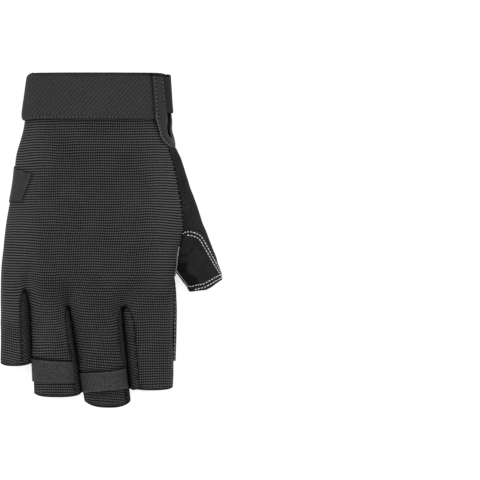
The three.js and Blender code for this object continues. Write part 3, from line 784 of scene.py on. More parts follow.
def elastic_webbing(name):
    """Elastic with a fine twill that runs down to the index side, and plain selvedges."""
    cloth = settings().cloth
    f = Finish(name, Specular_IOR_Level=0.16, Roughness=0.75)
    u, v = f.cloth_place()
    twill = f.cosine((u * 0.602 - v * 0.798) / 0.985)
    cross = f.cosine((u * 0.8 + v * 0.6) / 1.9)
    yarn = f.spots(0.9, 2.0)
    border = f.ramp(f.stored("edge"), 0.3, 0.8) * f.stored("grid")
    weave = (twill * (0.55 + 0.45 * cross)) * border + 0.34 * (1 - border)
    light = weave * (0.4 + 1.2 * yarn)
    paint = f.colour(light, tone(cloth.elastic, 0.08), tone(cloth.elastic, 2.6))
    f.relief(weave + yarn * 0.3, 0.22)
    paint = f.shaded(paint, f.stored("shade") * (0.8 + 0.3 * f.spots(18.0, 1.0)))
    return f.paint(paint, 0.85 - 0.12 * light)


def woven_tape(name, colour, pitch, across=True, fuzz=1.0, level=0.2, depth=0.1):
    """Smooth narrow tape with fine ribs, a paler edge that is a painted highlight, and painted shade on
    its inner face.
    """
    f = Finish(name, Specular_IOR_Level=level, Roughness=0.6)
    u, v = f.cloth_place()
    rib = f.cosine((u if across else v) / pitch)
    yarn = f.spots(1.0, 2.0, 0.7)
    # A painted highlight: lighter within 0.9 mm of the rim, on the tape's rounded edge.
    paler_by_rim = 1 - f.ramp(f.stored("edge"), 0.0, 0.9)
    light = rib * 0.4 + (yarn - 0.5) * fuzz + paler_by_rim * 0.35 + 0.28
    paint = f.colour(light, tone(colour, 0.45), tone(colour, 1.55))
    f.relief(rib + yarn * 0.5, depth)
    # Painted shade: the tape's inner face is made near black.
    under = 1 - 0.92 * f.ramp(f.stored("inside"), 0.4, 1.0)
    paint = f.shaded(paint, f.stored("shade") * under * (0.8 + 0.4 * f.spots(8.0, 2.0)))
    return f.paint(paint, 0.78 - 0.15 * light)


def hook_cloth(name):
    """The closing tab's napped tape: rows of fine loops between woven edges."""
    cloth = settings().cloth
    f = Finish(name, Specular_IOR_Level=0.18, Roughness=0.75)
    u, v = f.cloth_place()
    loops = f.cosine(u / 0.9) * f.cosine(v / 1.1)
    fuzz = f.spots(0.7, 3.0, 0.7)
    border = f.ramp(f.stored("edge"), 1.4, 1.9)
    light = (loops * 0.5 + fuzz * 0.6) * border + 0.45 * (1 - border) * (0.6 + 0.8 * fuzz)
    paint = f.colour(light, tone(cloth.hook_tape, 0.5), tone(cloth.hook_tape, 1.5))
    f.relief((loops + fuzz) * border, 0.2)
    return f.paint(f.shaded(paint, f.stored("shade")), 0.9 - 0.15 * light)


def thread(name, colour, level=0.3):
    """Twisted sewing thread."""
    f = Finish(name, Specular_IOR_Level=level, Roughness=0.6)
    twist = f.spots(0.5, 2.0)
    paint = f.colour(twist, tone(colour, 0.75), tone(colour, 1.15))
    f.relief(twist, 0.05)
    return f.paint(paint)


def cached(maker, name, *values, **more):
    """A material by name, made when it is first asked for."""
    return bpy.data.materials.get(name) or maker(name, *values, **more)


def palm_suede():
    return cached(suede, "palm suede", settings().leather.suede, 2.6, 0.9)


def patch_suede():
    return cached(suede, "patch suede", settings().leather.patch, 1.3, 1.3, 0.2)


def finger_grids(panel, columns=20, hand_rows=88, finger_rows=44):
    """The back's or the palm's points, with the cloth's distances: hand first, then each finger."""
    u = np.linspace(0, 1, columns + 1)
    crotches = [lerp(crotch_y(k, panel), crotch_y(k + 1, panel), u) for k in range(4)]
    v = np.linspace(0, 1, hand_rows + 1)[:, None]
    hands = [panel_point(panel, k, u, lerp(PANEL_TOP, crotches[k], v)) for k in range(4)]
    whole = np.concatenate([hands[0], *[h[:, 1:] for h in hands[1:]]], 1)
    across = lengths_along(whole)
    across = across - across[:, 2 * columns : 2 * columns + 1]
    grids = []
    for k in range(4):
        share = across[:, k * columns : (k + 1) * columns + 1]
        grids.append((k, 0, hands[k], np.stack([share, hands[k][..., 1]], -1)))
    w = (np.linspace(0, 1, finger_rows + 1) ** 1.25)[:, None]
    for k in range(4):
        hem = hem_y(k, lerp(*seams(panel, k), u))
        points = panel_point(panel, k, u, lerp(crotches[k], hem, w))
        own = lengths_along(points)
        middle = columns // 2
        start = across[-1, k * columns + middle]
        share = start + own - own[:, middle : middle + 1]
        grids.append((k, 1, points, np.stack([share, points[..., 1]], -1)))
    return grids


def bent(points, uv, finger):
    """The ribs' heights, arched over the crotches and drawn down the little finger."""
    x, y = points[..., 0], points[..., 1]
    rise = 0
    for k in (1, 2, 3):
        dx, dy = x - side_x(k, y_at(KNUCKLES)), y - crotch_y(k, 0)
        rise = rise + 1.9 * bump(dx, 0, 4.2) * bump(dy, 0, np.where(dy > 0, 6, 22))
    drawn = smooth(-y, 28, 60) * (1 - smooth(x, -46, -30)) * (x + 32) * 0.2
    middle = smooth(-y, 40, 70) * np.clip((x - 6) / 14, -1, 1) * 1.2 * (finger == MIDDLE)
    left = (1 - smooth(x, -44, -22)) * np.sin((y - 20) / 19) * 1.0
    return np.stack([uv[..., 0], uv[..., 1] - rise + drawn + middle + left], -1)


def panel_sheet(panel):
    sheet = Sheet()
    for finger, part, points, uv in finger_grids(panel):
        uv = bent(points, uv, finger) if panel == BACK else uv
        sheet.grid(points, uv, flip=panel == PALM, mark=finger + 10 * part)
    return sheet.weld()


def wales_at(points):
    """Where the lengthwise wales show: over the middle and the index finger's side."""
    x, y = points[:, 0], points[:, 1]
    middle = np.exp(-(((x - 4) / 36) ** 4)) * (0.72 + 0.28 * smooth(-y, -45, -5))
    index = smooth(x, 10, 28) * smooth(-y, 12, 40)
    fingers = 0.62 * smooth(-y, 38, 50)
    return np.clip(np.maximum(np.maximum(middle, fingers), index), 0, 1)


def loop_edges(finger, u):
    """The heights of a pull loop's lower and upper edges above the middle of the hem."""
    lift, slant, raised, sag = {RING: (8.2, -0.6, 1.6, 0.0), MIDDLE: (9.2, 2.5, 0.0, 0.8)}[finger]
    low = lift + slant * (u - 0.5)
    return low, low + LOOP_WIDTH + raised * (1 - u) - sag * np.sin(np.pi * u)


def over_loops(sheet):
    """For each loop: its finger's points, their places across it and their heights over its top."""
    for finger in (RING, MIDDLE):
        left, right = side_x(finger, sheet.points[:, 1]), side_x(finger + 1, sheet.points[:, 1])
        u = np.clip((sheet.points[:, 0] - left) / (right - left), 0, 1)
        top = hem_y(finger, 0) + loop_edges(finger, u)[1]
        yield sheet.mark == finger + 10, u, sheet.points[:, 1] - top


def above_loop(sheet):
    """How much the cloth swells just above each pull loop, and is pressed in under it."""
    height = np.zeros(len(sheet.points))
    for inside, u, over in over_loops(sheet):
        swell = smooth(over, -0.2, 1.5) * (1 - smooth(over, 1.8, 9.0))
        press = smooth(-over, -0.2, 1.0)
        bow = np.sin(np.pi * u)
        height += inside * (2.0 * swell - 0.35 * press) * bow ** 0.4
    return height


def loop_shade(sheet):
    """Painted shade in the fold above each pull loop and along its lower edge."""
    shade = np.ones(len(sheet.points))
    for inside, _, over in over_loops(sheet):
        shade *= 1 - 0.97 * inside * bump(over, 0.7, 0.55)
        shade *= 1 - 0.6 * inside * bump(over, -LOOP_WIDTH - 0.45, 0.6)
    return shade


def slit_bulge(points):
    """How far the palm stands out beside the slit."""
    x, y, z = points.T
    height = 1.5 * smooth(-y, -66, -50) + 0.7 * bump(y, 57, 4.5)
    return height * smooth(y, 43, 49) * smooth(x, 34, 41) * smooth(z, 2.5, 6.5)


def drawn_in(points):
    """How far the cuff draws the cloth in on the little finger's side."""
    return 0.6 * (1 - smooth(points[:, 0], -33, -27)) * smooth(points[:, 1], 46, 63)


def back_folds(sheet, edge):
    """How far the back's cloth stands out, in its wrinkles, puckers and swells."""
    folds = settings().folds
    p = sheet.points
    x, y, _ = p.T
    wrinkle = ripple(p, (16, 9, 30), 1) * 0.6 + ripple(p, (34, 12, 40), 2) * 0.8
    pucker = ripple(p, (3.2, 16, 12), 3) * smooth(y, 52, 66)
    crotch = 0
    for k in (1, 2, 3):
        dx, dy = x - side_x(k, y_at(KNUCKLES)), y - crotch_y(k, 0) - 4
        crotch = crotch + np.exp(-(dx ** 2) / 40 - (dy ** 2) / 60)
    tug = ripple(p, (4, 7, 12), 4) * crotch
    free = 1 - 0.85 * smooth(y, CUFF_BOTTOM - 6, CUFF_BOTTOM - 1)
    height = (wrinkle * 0.5 * free + pucker * 0.5 + tug * 0.55) * folds.wrinkle / MM
    height += ripple(p, (14, 5.5, 14), 5) * smooth(-y, 38, 50) * 0.6 * folds.wrinkle / MM
    under_label = np.exp(-((((x + 40) / 11) ** 2 + ((y - 30) / 15) ** 2) ** 2))
    height = height * (1 - under_label) + above_loop(sheet) * folds.swell
    height += 0.6 * smooth(x, 38, 44) * smooth(y, -24, -17) * (1 - smooth(edge, 0.8, 5))
    height -= 0.25 * np.exp(-((edge - 2.1) ** 2) / 0.35) * smooth(-y, 62, 66)
    height += 0.5 * smooth(x, 38, 43) * smooth(-y, 55, 66) - drawn_in(p)
    return height


def back_shade(sheet, p, edge):
    """How much painted shade and painted light the back's cloth takes: painted shade in the fold above
    each loop, along its seams and edges, under the cuff, beside the binding and the label and at the
    crotches, and painted light on the little and ring fingers.
    """
    x, y, _ = p.T
    # Painted shade along the cloth's edges in the fingers, and by the loops.
    on_edge = 1 - smooth(edge, 0.3, 1.2)
    shade = (1 - 0.5 * on_edge * smooth(-y, 24, 30)) * loop_shade(sheet)
    # Painted shade in a line under the cuff's lower edge, and beside the binding.
    shade *= 1 - 0.45 * bump(y, CUFF_BOTTOM - 0.4, 0.9)
    shade *= beside_binding(p)
    # Painted light on the little and ring fingers.
    shade *= 1 + 0.15 * (1 - smooth(x, -30, 10)) * smooth(-y, 26, 40)
    # Painted shadow round the label's border.
    label = label_place(*border(0.2, 1.015, -0.02, 1.02, 30))
    shade *= 1 - 0.6 * bump(to_line(p, label), 0, 0.8)
    # Painted shade: a dark core at the top of each gap between the fingers.
    for k in (1, 2, 3):
        dx, dy = x - side_x(k, y), y - crotch_y(k, 0)
        shade *= 1 - 0.92 * bump(dx, 0, 0.6) * bump(dy, -1.6, 1.6)
    return shade


def back_panel():
    sheet = panel_sheet(BACK)
    p, edge = sheet.points, sheet.from_rim()
    sheet.grid_share = wales_at(p)
    sheet.push(back_folds(sheet, edge)).trim(PANEL_TRIM)
    sheet.shade = back_shade(sheet, p, edge)
    piece = sheet.solid("back_cloth", -CLOTH, 0.0, 0.9)
    sewn(piece, cached(ribbed_cloth, "ribbed cloth"), "ribbed_cloth", "back_panel")


def palm_panel():
    sheet = panel_sheet(PALM)
    p = sheet.points
    height = ripple(p, (12, 9, 12), 6) * 0.25 * smooth(p[:, 2], 2.5, 6)
    sheet.push(height - drawn_in(p) + slit_bulge(p)).trim(PANEL_TRIM)
    sewn(sheet.solid("palm_suede", -SUEDE, 0.0, 0.9), palm_suede(), "suede", "palm_panel")


def fourchettes():
    q = np.linspace(0, 1, 15)
    k = (np.linspace(0, 1, 41) ** 1.4)[:, None]
    for side, name in enumerate(("little_ring", "ring_middle", "middle_index"), 1):
        down, up = web_point(side, side - 1, q, k)[::-1], web_point(side, side, q, k)[1:]
        points = np.concatenate([down, up])
        across, along = np.moveaxis(unrolled(points), -1, 0)
        own = np.concatenate([np.ones(len(down)), -np.ones(len(up))])[:, None] + 0 * across
        free = np.concatenate([k[::-1], k[1:]]) + 0 * across
        if side == INDEX:
            below = smooth(q, 0.06, 0.45) * (1 - smooth(q, 0.6, 0.95))
            points[..., 1] -= 1.1 * below * smooth(free, 0.8, 1) * (own < 0)
        turn = np.radians(np.where(own > 0, 24, 14))
        sin, cos = np.sin(turn), np.cos(turn)
        uv = np.stack([across * cos - along * sin, across * sin + along * cos], -1)
        sheet = Sheet().grid(points, uv, flip=True, mark=own * smooth(free, 0, 0.1)).weld()
        _, y, z = sheet.points.T
        sheet.grid_share = np.ones(len(z))
        # Painted shade: the strip turns near black deep in the gap and by the crotch.
        sheet.shade = lerp(0.03, 1.0, smooth(z, 10.0, 11.8) * smooth(np.abs(sheet.mark), 0, 0.6))
        # Painted shade on the middle finger's own side of the last strip, near its hem.
        if side == INDEX:
            sheet.shade *= 1 - 0.75 * smooth(sheet.mark, 0.1, 0.6) * smooth(-y, 66, 72)
        nest = sheet.mark * (1 if side == INDEX else -1)
        nest = nest * (0.2 * bump(z, 12.5, 3.2) - 1.5 * bump(z, 7, 2.6))
        sheet.push(nest + ripple(sheet.points, (8, 5, 8), 7) * 0.12).trim(PANEL_TRIM)
        piece = sheet.solid(f"fourchette_{name}_cloth", -CLOTH, 0.0, 0.9)
        # The fourchettes' cloth is the back's cloth painted 1.2 times lighter: painted light on the side
        # walls between the fingers.
        cloth = cached(ribbed_cloth, "fourchette cloth", 1.2)
        sewn(piece, cloth, "ribbed_cloth", f"fourchette_{name}")


def thumb_fall(around, down, points):
    """How far the thumb's suede lies below its seams, and its folds."""
    seam = bump(around, 0, 0.05) * (1 - smooth(down, 0.85, 1.1))
    palm_seam = bump(around, 1, 0.05) * (1 - smooth(down, 0.85, 1.1))
    start = np.minimum(down * 8, 1)
    folds = ripple(points, (7, 11, 9), 8) * 0.45 + ripple(points, (3, 6, 4), 9) * 0.15
    hollow = hollow_at(around, down)
    outer = smooth(around, 0.1, 0.35) * (1 - smooth(around, 0.75, 0.95))
    full = 0.9 * outer * bump(down, 0.08, 0.12) * np.minimum(down * 11, 1)
    return (folds - 0.55 * seam - 0.3 * palm_seam) * start + full - hollow


def dent_at(around, down):
    """0 to 1 where the suede is pressed in by the thumb's crotch."""
    right = lerp(0.135, 0.2, smooth(down, 0.9, 1.35))
    left_of = 1 - smooth(around, right, right + 0.02)
    return smooth(down, 0.91, 0.93) * left_of * (1 - smooth(down, 1.72, 1.9))


def hollow_at(around, down):
    """The dent by the thumb's crotch, and the crease above it."""
    return 1.7 * dent_at(around, down) + 0.9 * crease_at(around, down, 0.02)


CREASE_AROUND = (0.03, 0.055, 0.085, 0.125, 0.145, 0.16)
CREASE_DOWN = (0.865, 0.871, 0.873, 0.862, 0.84, 0.815)


def crease_at(around, down, width):
    """0 to 1 on the curved crease over the dent."""
    reach = smooth(around, 0.02, 0.05) * (1 - smooth(around, 0.15, 0.17))
    return reach * bump(down, np.interp(around, CREASE_AROUND, CREASE_DOWN), width)


def thumb_shell():
    down = np.concatenate([np.linspace(0, 1, 71), np.linspace(1, 2, 21)[1:]])[:, None]
    around = np.linspace(0, 1, 97)
    down = np.where(down > 1, 1 + (down - 1) * (thumb_end(around) - 1), down)
    points = THUMBS.at(*np.broadcast_arrays(down, around))
    sheet = Sheet().grid(points).weld()
    fall = thumb_fall(around, down, points)
    order = np.unique(np.round(points.reshape(-1, 3), 3), axis=0, return_index=True)[1]
    sheet.push(fall.reshape(-1)[order]).trim(0.4)
    sewn(sheet.solid("thumb_suede", -SUEDE, 0.0, 0.9), palm_suede(), "suede", "thumb_shell")


# The thumb patch's upper edge: places round the thumb and down it
PATCH_AROUND = (0.02, 0.05, 0.09, 0.15, 0.2, 0.245, 0.3, 0.355, 0.405, 0.45, 0.485, 0.51)
PATCH_TOP = (0.678, 0.666, 0.662, 0.675, 0.695, 0.73, 0.79, 0.85, 0.91, 0.97, 1.15, 1.6)


def patch_down(around, share):
    """A place down the thumb's patch: 0 at its upper edge, 1 at the hem."""
    return lerp(np.interp(around, PATCH_AROUND, PATCH_TOP), thumb_end(around) - 0.035, share)


def thumb_end(around):
    """The thumb's hem, which is rounded at its inner corner."""
    return 2 - 0.17 * bump(np.minimum(around, 1 - around), 0, 0.06)


def thumb_surface(around, down):
    """The thumb's outside, with its folds."""
    around, down = np.broadcast_arrays(np.asarray(around, float), np.asarray(down, float))
    points = THUMBS.at(down, around)
    before, after = (THUMBS.at(down, np.clip(around + d, 0, 1)) for d in (-0.004, 0.004))
    above, below = (THUMBS.at(np.clip(down + d, 0, 2), around) for d in (-0.01, 0.01))
    normal = unit(np.cross(below - above, after - before))
    return points + normal * thumb_fall(around, down, points)[..., None]


def thumb_patch():
    around = np.linspace(PATCH_AROUND[0], PATCH_AROUND[-1], 70)
    down = patch_down(around, np.linspace(0, 1, 91)[:, None])
    # Painted shade in the dent by the thumb's crotch and along the crease above it.
    shade = (1 - 0.88 * dent_at(around, down)) * (1 - 0.85 * crease_at(around, down, 0.014))
    sheet = Sheet().grid(thumb_surface(around, down), mark=shade).weld().trim(0.2)
    sheet.shade = sheet.mark
    seam = THUMBS.at(np.linspace(0.6, 1.05, 60), np.zeros(60))
    near = bump(to_line(sheet.points, seam), 0, 2.2)
    low = 0.35 - 0.3 * near
    piece = sheet.solid("thumb_patch_suede", low, low + PATCH * (0.8 - 0.35 * near), 0.9)
    sewn(piece, patch_suede(), "patch_suede", "thumb_patch")


def patch_reach(y):
    """The share of the index finger's palm that the patch covers."""
    return lerp(0.83, 0.985, smooth(-y, 12, 34))


def palm_patch():
    sheet = Sheet()
    rows, finger_rows = np.linspace(0, 1, 49)[:, None], np.linspace(0, 1, 37)[1:, None]
    for finger in range(4):
        c = np.linspace(0.36 if finger == LITTLE else 0, 1, 17)
        crotch = lerp(crotch_y(finger, PALM), crotch_y(finger + 1, PALM), c)
        stop = crotch + PALM_PATCH_MARGIN
        y = lerp(PALM_PATCH_TOP, stop, rows)
        u = np.broadcast_to(c, y.shape)
        if finger == INDEX:
            end = lerp(crotch, hem_y(finger, lerp(*seams(PALM, finger), c)), PALM_PATCH_END)
            y = np.concatenate([y, lerp(stop, end, finger_rows)])
            u = c * patch_reach(y)
        sheet.grid(panel_point(PALM, finger, u, y), flip=True)
    x, y, z = sheet.weld().points.T
    side = smooth(x, 40, 44)
    bulge = side * 0.6 * smooth(-y, 24, 40) * (1 - 0.4 * smooth(-y, 50, 66))
    # Painted light: the patch's side wall by the index edge is made up to six times lighter, high on the
    # wall.
    sheet.shade = 1 + 5 * smooth(z, 8, 11) * side
    sheet.trim(0.3)
    piece = sheet.solid("palm_patch_suede", GAP, GAP + PATCH + bulge, 0.8)
    sewn(piece, patch_suede(), "patch_suede", "palm_patch")


def cuff_band():
    rows = -np.linspace(CUFF_TOP, CUFF_BOTTOM, 27)[:, None]
    palm = HANDS[PALM].at(*np.broadcast_arrays(rows, np.linspace(1, 0, 91)))
    back = HANDS[BACK].at(*np.broadcast_arrays(rows, np.linspace(0, 1, 101)))
    sheet = Sheet().grid(np.concatenate([palm, back[:, 1:]], 1)).weld()
    p = sheet.points
    x, y, z = p.T
    wave = ripple(p, (9, 60, 20), 10) * 0.3 + ripple(p, (2.2, 30, 8), 11) * 0.08
    roll = -0.25 * np.exp(-((y - CUFF_BOTTOM - 2.0) ** 2) / 0.5)
    left = 1 - smooth(x, -34, -27)
    round_top = 1.8 * np.clip(1 - (CUFF_TOP - y) / 3.0, 0, 1) ** 2
    round_foot = 1.0 * np.clip(1 - (y - CUFF_BOTTOM) / 2.4, 0, 1) ** 2
    # Painted shade beside the binding and in a dark line along the cuff's top edge, darker towards the
    # index side.
    top_edge = smooth(y, CUFF_TOP - 1.8, CUFF_TOP - 0.9)
    sheet.shade = beside_binding(p) * (1 - (0.35 + 0.4 * smooth(x, 15, 35)) * top_edge)
    sheet.grid_share = smooth(x + 0.12 * (y - CUFF_BOTTOM), -32.5, -30.5)
    sheet.push(wave * smooth(z, 3, 8) + roll - left * (round_top + round_foot)).trim(0.5)
    sheet.points[:, 1] -= 0.35 * smooth(y, CUFF_TOP - 6, CUFF_TOP) + 0.8 * left * round_top
    sheet.points[:, 1] += 0.5 * left * round_foot
    piece = sheet.solid("cuff_elastic", GAP, GAP + ELASTIC, 0.9)
    sewn(piece, cached(elastic_webbing, "cuff elastic"), "elastic", "cuff_band")


def binding_path():
    """The slit's edge, from the tape's inner edge to its outer edge: ways round the wrist, and y."""
    bottom = y_at(THUMB_TOP / GLOVE_LENGTH) - 0.5
    half = float(slit_edge(np.array(bottom + BINDING_WIDTH)))
    turn = bottom + BINDING_WIDTH + half
    tab_edge = CUFF_TOP - TAB_INSET - TAB_WIDTH - GAP
    q = np.linspace(0, 1, 9)
    straight = np.linspace(CUFF_TOP, turn, 61)[:-1, None] + 0 * q
    wide = 0.5 + 0.7 * bump(straight, 66, 10)
    drawn = 0.5 * smooth(straight, turn, turn + 3) * (1 - smooth(straight, 60, 66))
    inner = slit_edge(straight) + drawn
    outer = slit_edge(straight) + BINDING_WIDTH + wide * smooth(straight, turn, turn + 8)
    back = (-lerp(inner, outer, q), straight)
    angle = np.linspace(0, math.pi, 41)[:, None]
    radius = half + q * BINDING_WIDTH
    sin = np.clip(np.sin(angle), 0, 1) ** 0.8
    cos = np.sign(np.cos(angle)) * np.abs(np.cos(angle)) ** 0.8
    bend = (-radius * cos, turn - radius * sin)
    upward = np.linspace(turn, tab_edge, 25)[1:, None] + 0 * q
    wide = 0.9 * bump(upward, 61.5, 2.5)
    palm = (slit_edge(upward) + q * (BINDING_WIDTH + wide), upward)
    return [np.concatenate(parts) for parts in zip(back, bend, palm)]


def binding_level(y):
    return lerp(GAP, OVER_CUFF, smooth(y, CUFF_BOTTOM - 8.0, CUFF_BOTTOM - 0.5))


def beside_binding(points):
    """Painted shade in the crack along the binding's outer edge."""
    reach, y = binding_path()
    line = wrist_point(np.repeat(reach[:, -1], 2) - 0.2, np.repeat(y[:, -1], 2))
    return 1 - 0.7 * bump(to_line(points, line), 0, 0.9)


def slit_binding():
    sheet = Sheet().grid(wrist_point(*binding_path()), flip=True).weld()
    p = sheet.points.copy()
    x, y, z = p.T
    palm_side = 1 - smooth(z, 8, 14)
    end = bump(y, 49.5, 2.5) * smooth(x, 41, 44)
    low = binding_level(y) + palm_side * slit_bulge(p) - 0.25 * end
    # Painted light on the palm side's strand of tape, and painted shade that makes the tape's top edge
    # near black.
    strand = palm_side * smooth(y, 50, 56)
    top = smooth(y, CUFF_TOP - 2.4, CUFF_TOP - 1.2)
    sheet.shade = (1 - 0.97 * top) * (1 + 0.9 * strand)
    sheet.points[:, 1] -= 0.6 * smooth(y, CUFF_TOP - 6, CUFF_TOP)
    crown = 0.35 * (1 - bump(sheet.from_rim(), 0, 1.1))
    piece = sheet.trim(0.15).solid("slit_tape", low, low + TAPE * 0.8 + crown, 0.9)
    tape = cached(woven_tape, "binding tape", settings().cloth.binding, 0.7)
    sewn(piece, tape, "binding_tape", "slit_binding")


def closure_tab():
    u = np.linspace(0, 1, 81)
    top = CUFF_TOP - TAB_INSET
    y = np.linspace(top - 0.4, top - TAB_WIDTH - 1.2, 25)[:, None] + 0 * u
    reach = lerp(-slit_edge(y) - 0.9, TAB_LENGTH, u ** 1.6)
    nip = np.maximum(reach - TAB_LENGTH + 6, 0) / 6
    y = lerp(y, top - TAB_WIDTH / 2, 0.35 * nip ** 2)
    sheet = Sheet().grid(wrist_point(reach, y), mark=reach + slit_edge(y)).weld()
    tucked = 1 - smooth(sheet.mark, 0.4, 2.4)
    # Painted shade along the tab's top edge.
    sheet.shade = 1 - 0.85 * smooth(sheet.points[:, 1], CUFF_TOP - 2.9, CUFF_TOP - 1.9)
    sheet.trim(0.3)
    slack = 0.5 * smooth(sheet.points[:, 2], 6, 10) * (1 - tucked)
    low = OVER_CUFF + slack - 1.3 * tucked
    piece = sheet.solid("closing_tape", low, low + HOOK_TAPE - 0.5 * tucked, 0.8)
    sewn(piece, cached(hook_cloth, "closing tape"), "hook_tape", "closure_tab")


def loop_place(finger, u, v):
    """A pull loop's place on its finger: v is 0 at its edge nearer the hand and 1 nearer the hem."""
    low, high = loop_edges(finger, u)
    y = hem_y(finger, 0) + lerp(high, low, v)
    left, right = seams(BACK, finger)
    past_seam = 9 if finger == MIDDLE else 0
    return finger_section(finger, y).point(lerp(left + 1, right + past_seam, u))


LOOPS = ((RING, "ring"), (MIDDLE, "middle"))


def pull_loops():
    u, v = np.broadcast_arrays(np.linspace(0, 1, 37), np.linspace(0, 1, 19)[:, None])
    for finger, name in LOOPS:
        sheet = Sheet().grid(loop_place(finger, u, v), mark=u).weld().trim(0.2)
        slack = 0.1 + (LOOP_SLACK + 0.2) * np.sin(np.clip(sheet.mark, 0, 1) * math.pi) ** 0.6
        piece = sheet.solid(f"pull_ribbon_{name}", slack, slack + RIBBON * 0.8, 0.8)
        ribbon = cached(woven_tape, "pull ribbon", settings().cloth.ribbon, 0.85, fuzz=2.4)
        sewn(piece, ribbon, "ribbon", f"pull_loop_{name}")


def label_place(u, v):
    """The side label's places: u runs up the hand's side from the fold, v along the seam."""
    y = y_at(lerp(0.275 + 0.029 * u, 0.388 - 0.006 * u, v))
    reach = (0.167 - 0.034 * v) * PALM_WIDTH + LABEL_FOLD
    under = np.linspace(-150, -90, 61)
    points = hand_section(y[..., None]).point(np.concatenate([under[:-1], np.linspace(-90, 0, 91)]))
    lengths = lengths_along(points)
    wanted = lengths[..., len(under) - 1] - LABEL_FOLD + u * reach
    places = np.empty((*y.shape, 3))
    for at in np.ndindex(y.shape):
        places[at] = at_lengths(points[at], lengths[at], wanted[at])
    return places


def side_label():
    u, v = np.broadcast_arrays(np.linspace(0, 1, 25), np.linspace(0, 1, 21)[:, None])
    sheet = Sheet().grid(label_place(u, v)).weld().trim(0.15)
    low = lerp(0.05, 0.25, smooth(sheet.points[:, 2], 14, 20))
    piece = sheet.solid("side_label_cloth", low, low + LABEL * 0.55, 0.8)
    woven = cached(woven_tape, "label cloth", settings().cloth.label, 0.6, across=False)
    sewn(piece, woven, "label", "side_label")


def surface_tree(piece):
    """A piece's faces, in millimetres, for finding places on it."""
    points = [v.co / MM for v in piece.data.vertices]
    return BVHTree.FromPolygons(points, [tuple(f.vertices) for f in piece.data.polygons])


def laid(piece, surface, a, b, lift, side=1):
    """Points of a line drawn over a surface, dropped onto the piece that lies on it."""
    a, b = np.broadcast_arrays(np.asarray(a, float), np.asarray(b, float))
    d = 2e-3
    along = surface(a, b + d) - surface(a, b - d)
    across = surface(a + d, b) - surface(a - d, b)
    normals = unit(np.cross(across, along)) * side
    tree = surface_tree(piece)
    line = []
    for point, normal in zip(surface(a, b), normals):
        start = Vector(point + normal * 5)
        hit, _, _, distance = tree.ray_cast(start, Vector(-normal), 8)
        if hit is not None:
            line.append(np.array(hit) + normal * lift)
    return np.array(line)


def dropped(piece, xs, ys, lift):
    """Points of a line in the plan, dropped onto a piece from above."""
    tree = surface_tree(piece)
    hits = [tree.ray_cast(Vector((x, y, 60)), Vector((0, 0, -1)))[0] for x, y in zip(xs, ys)]
    return np.array([hit for hit in hits if hit is not None]) + (0, 0, lift)


def stitch_tree():
    """Stitches on the edges of a mesh: a long ball at every pitch, turned along the seam."""
    tree = bpy.data.node_groups.new("sewn stitches", "GeometryNodeTree")
    faces = tree.interface
    faces.new_socket("Geometry", in_out="INPUT", socket_type="NodeSocketGeometry")
    sizes = (("Pitch", 0.0016), ("Stitch Length", 0.0012), ("Thickness", 0.0005))
    for name, value in sizes:
        socket = faces.new_socket(name, in_out="INPUT", socket_type="NodeSocketFloat")
        socket.subtype, socket.default_value = "DISTANCE", value
    faces.new_socket("Thread", in_out="INPUT", socket_type="NodeSocketMaterial")
    faces.new_socket("Geometry", in_out="OUTPUT", socket_type="NodeSocketGeometry")
    n = Nodes(tree)
    entry = tree.nodes.new("NodeGroupInput")
    pitch, length, thickness = (Number(n, entry.outputs[name]) for name, _ in sizes)
    curve = n.node("GeometryNodeMeshToCurve", inputs={"Mesh": entry.outputs["Geometry"]})
    curve = n.node("GeometryNodeResampleCurve", {"mode": "LENGTH"}, {"Curve": curve, "Length": pitch})
    ball = n.node("GeometryNodeMeshUVSphere", inputs={"Segments": 7, "Rings": 5, "Radius": 0.5})
    size = n.node("ShaderNodeCombineXYZ", inputs={0: thickness, 1: thickness, 2: length})
    vary = n.node("FunctionNodeRandomValue", {"data_type": "FLOAT"}, {2: 0.85, 3: 1.1, "Seed": 7}, 1)
    size = n.node("ShaderNodeVectorMath", {"operation": "SCALE"}, {0: size, "Scale": vary})
    tangent = n.node("GeometryNodeInputTangent")
    turn = n.node("FunctionNodeAlignRotationToVector", {"axis": "Z"}, {"Vector": tangent})
    inputs = {"Points": curve, "Instance": ball, "Rotation": turn, "Scale": size}
    sewn_on = n.node("GeometryNodeInstanceOnPoints", inputs=inputs)
    real = n.node("GeometryNodeRealizeInstances", inputs={"Geometry": sewn_on})
    inputs = {"Geometry": real, "Material": entry.outputs["Thread"]}
    last = n.node("GeometryNodeSetMaterial", inputs=inputs)
    tree.links.new(last, tree.nodes.new("NodeGroupOutput").inputs[0])
    return tree


# Each row of stitches that shows: its thread, its slot, and its pitch, length and thickness in metres
STITCHES = {
    "stitches_binding": ("pale", "binding_tape", 0.0021, 0.0011, 0.00036),
    "binding_edge": ("pale", "binding_tape", 0.0008, 0.0012, 0.0003),
    "stitches_cuff": ("pale", "elastic", 0.0019, 0.0012, 0.0003),
    "stitches_hems": ("dark", "ribbed_cloth", 0.0019, 0.0014, 0.0004),
    "stitches_thumb_seam": ("hole", "ribbed_cloth", 0.0026, 0.0013, 0.0009),
    "stitches_edge": ("cream", "ribbed_cloth", 0.0009, 0.0012, 0.0007),
    "stitches_loops": ("pale", "ribbon", 0.0014, 0.0011, 0.0003),
    "stitches_palm_patch": ("cream", "patch_suede", 0.0022, 0.0012, 0.0004),
    "stitches_thumb_edge": ("cream", "suede", 0.001, 0.0012, 0.00045),
    "stitches_label": ("pale", "label", 0.0016, 0.001, 0.0003),
    "stitches_tab": ("dark", "hook_tape", 0.002, 0.0014, 0.0004),
}


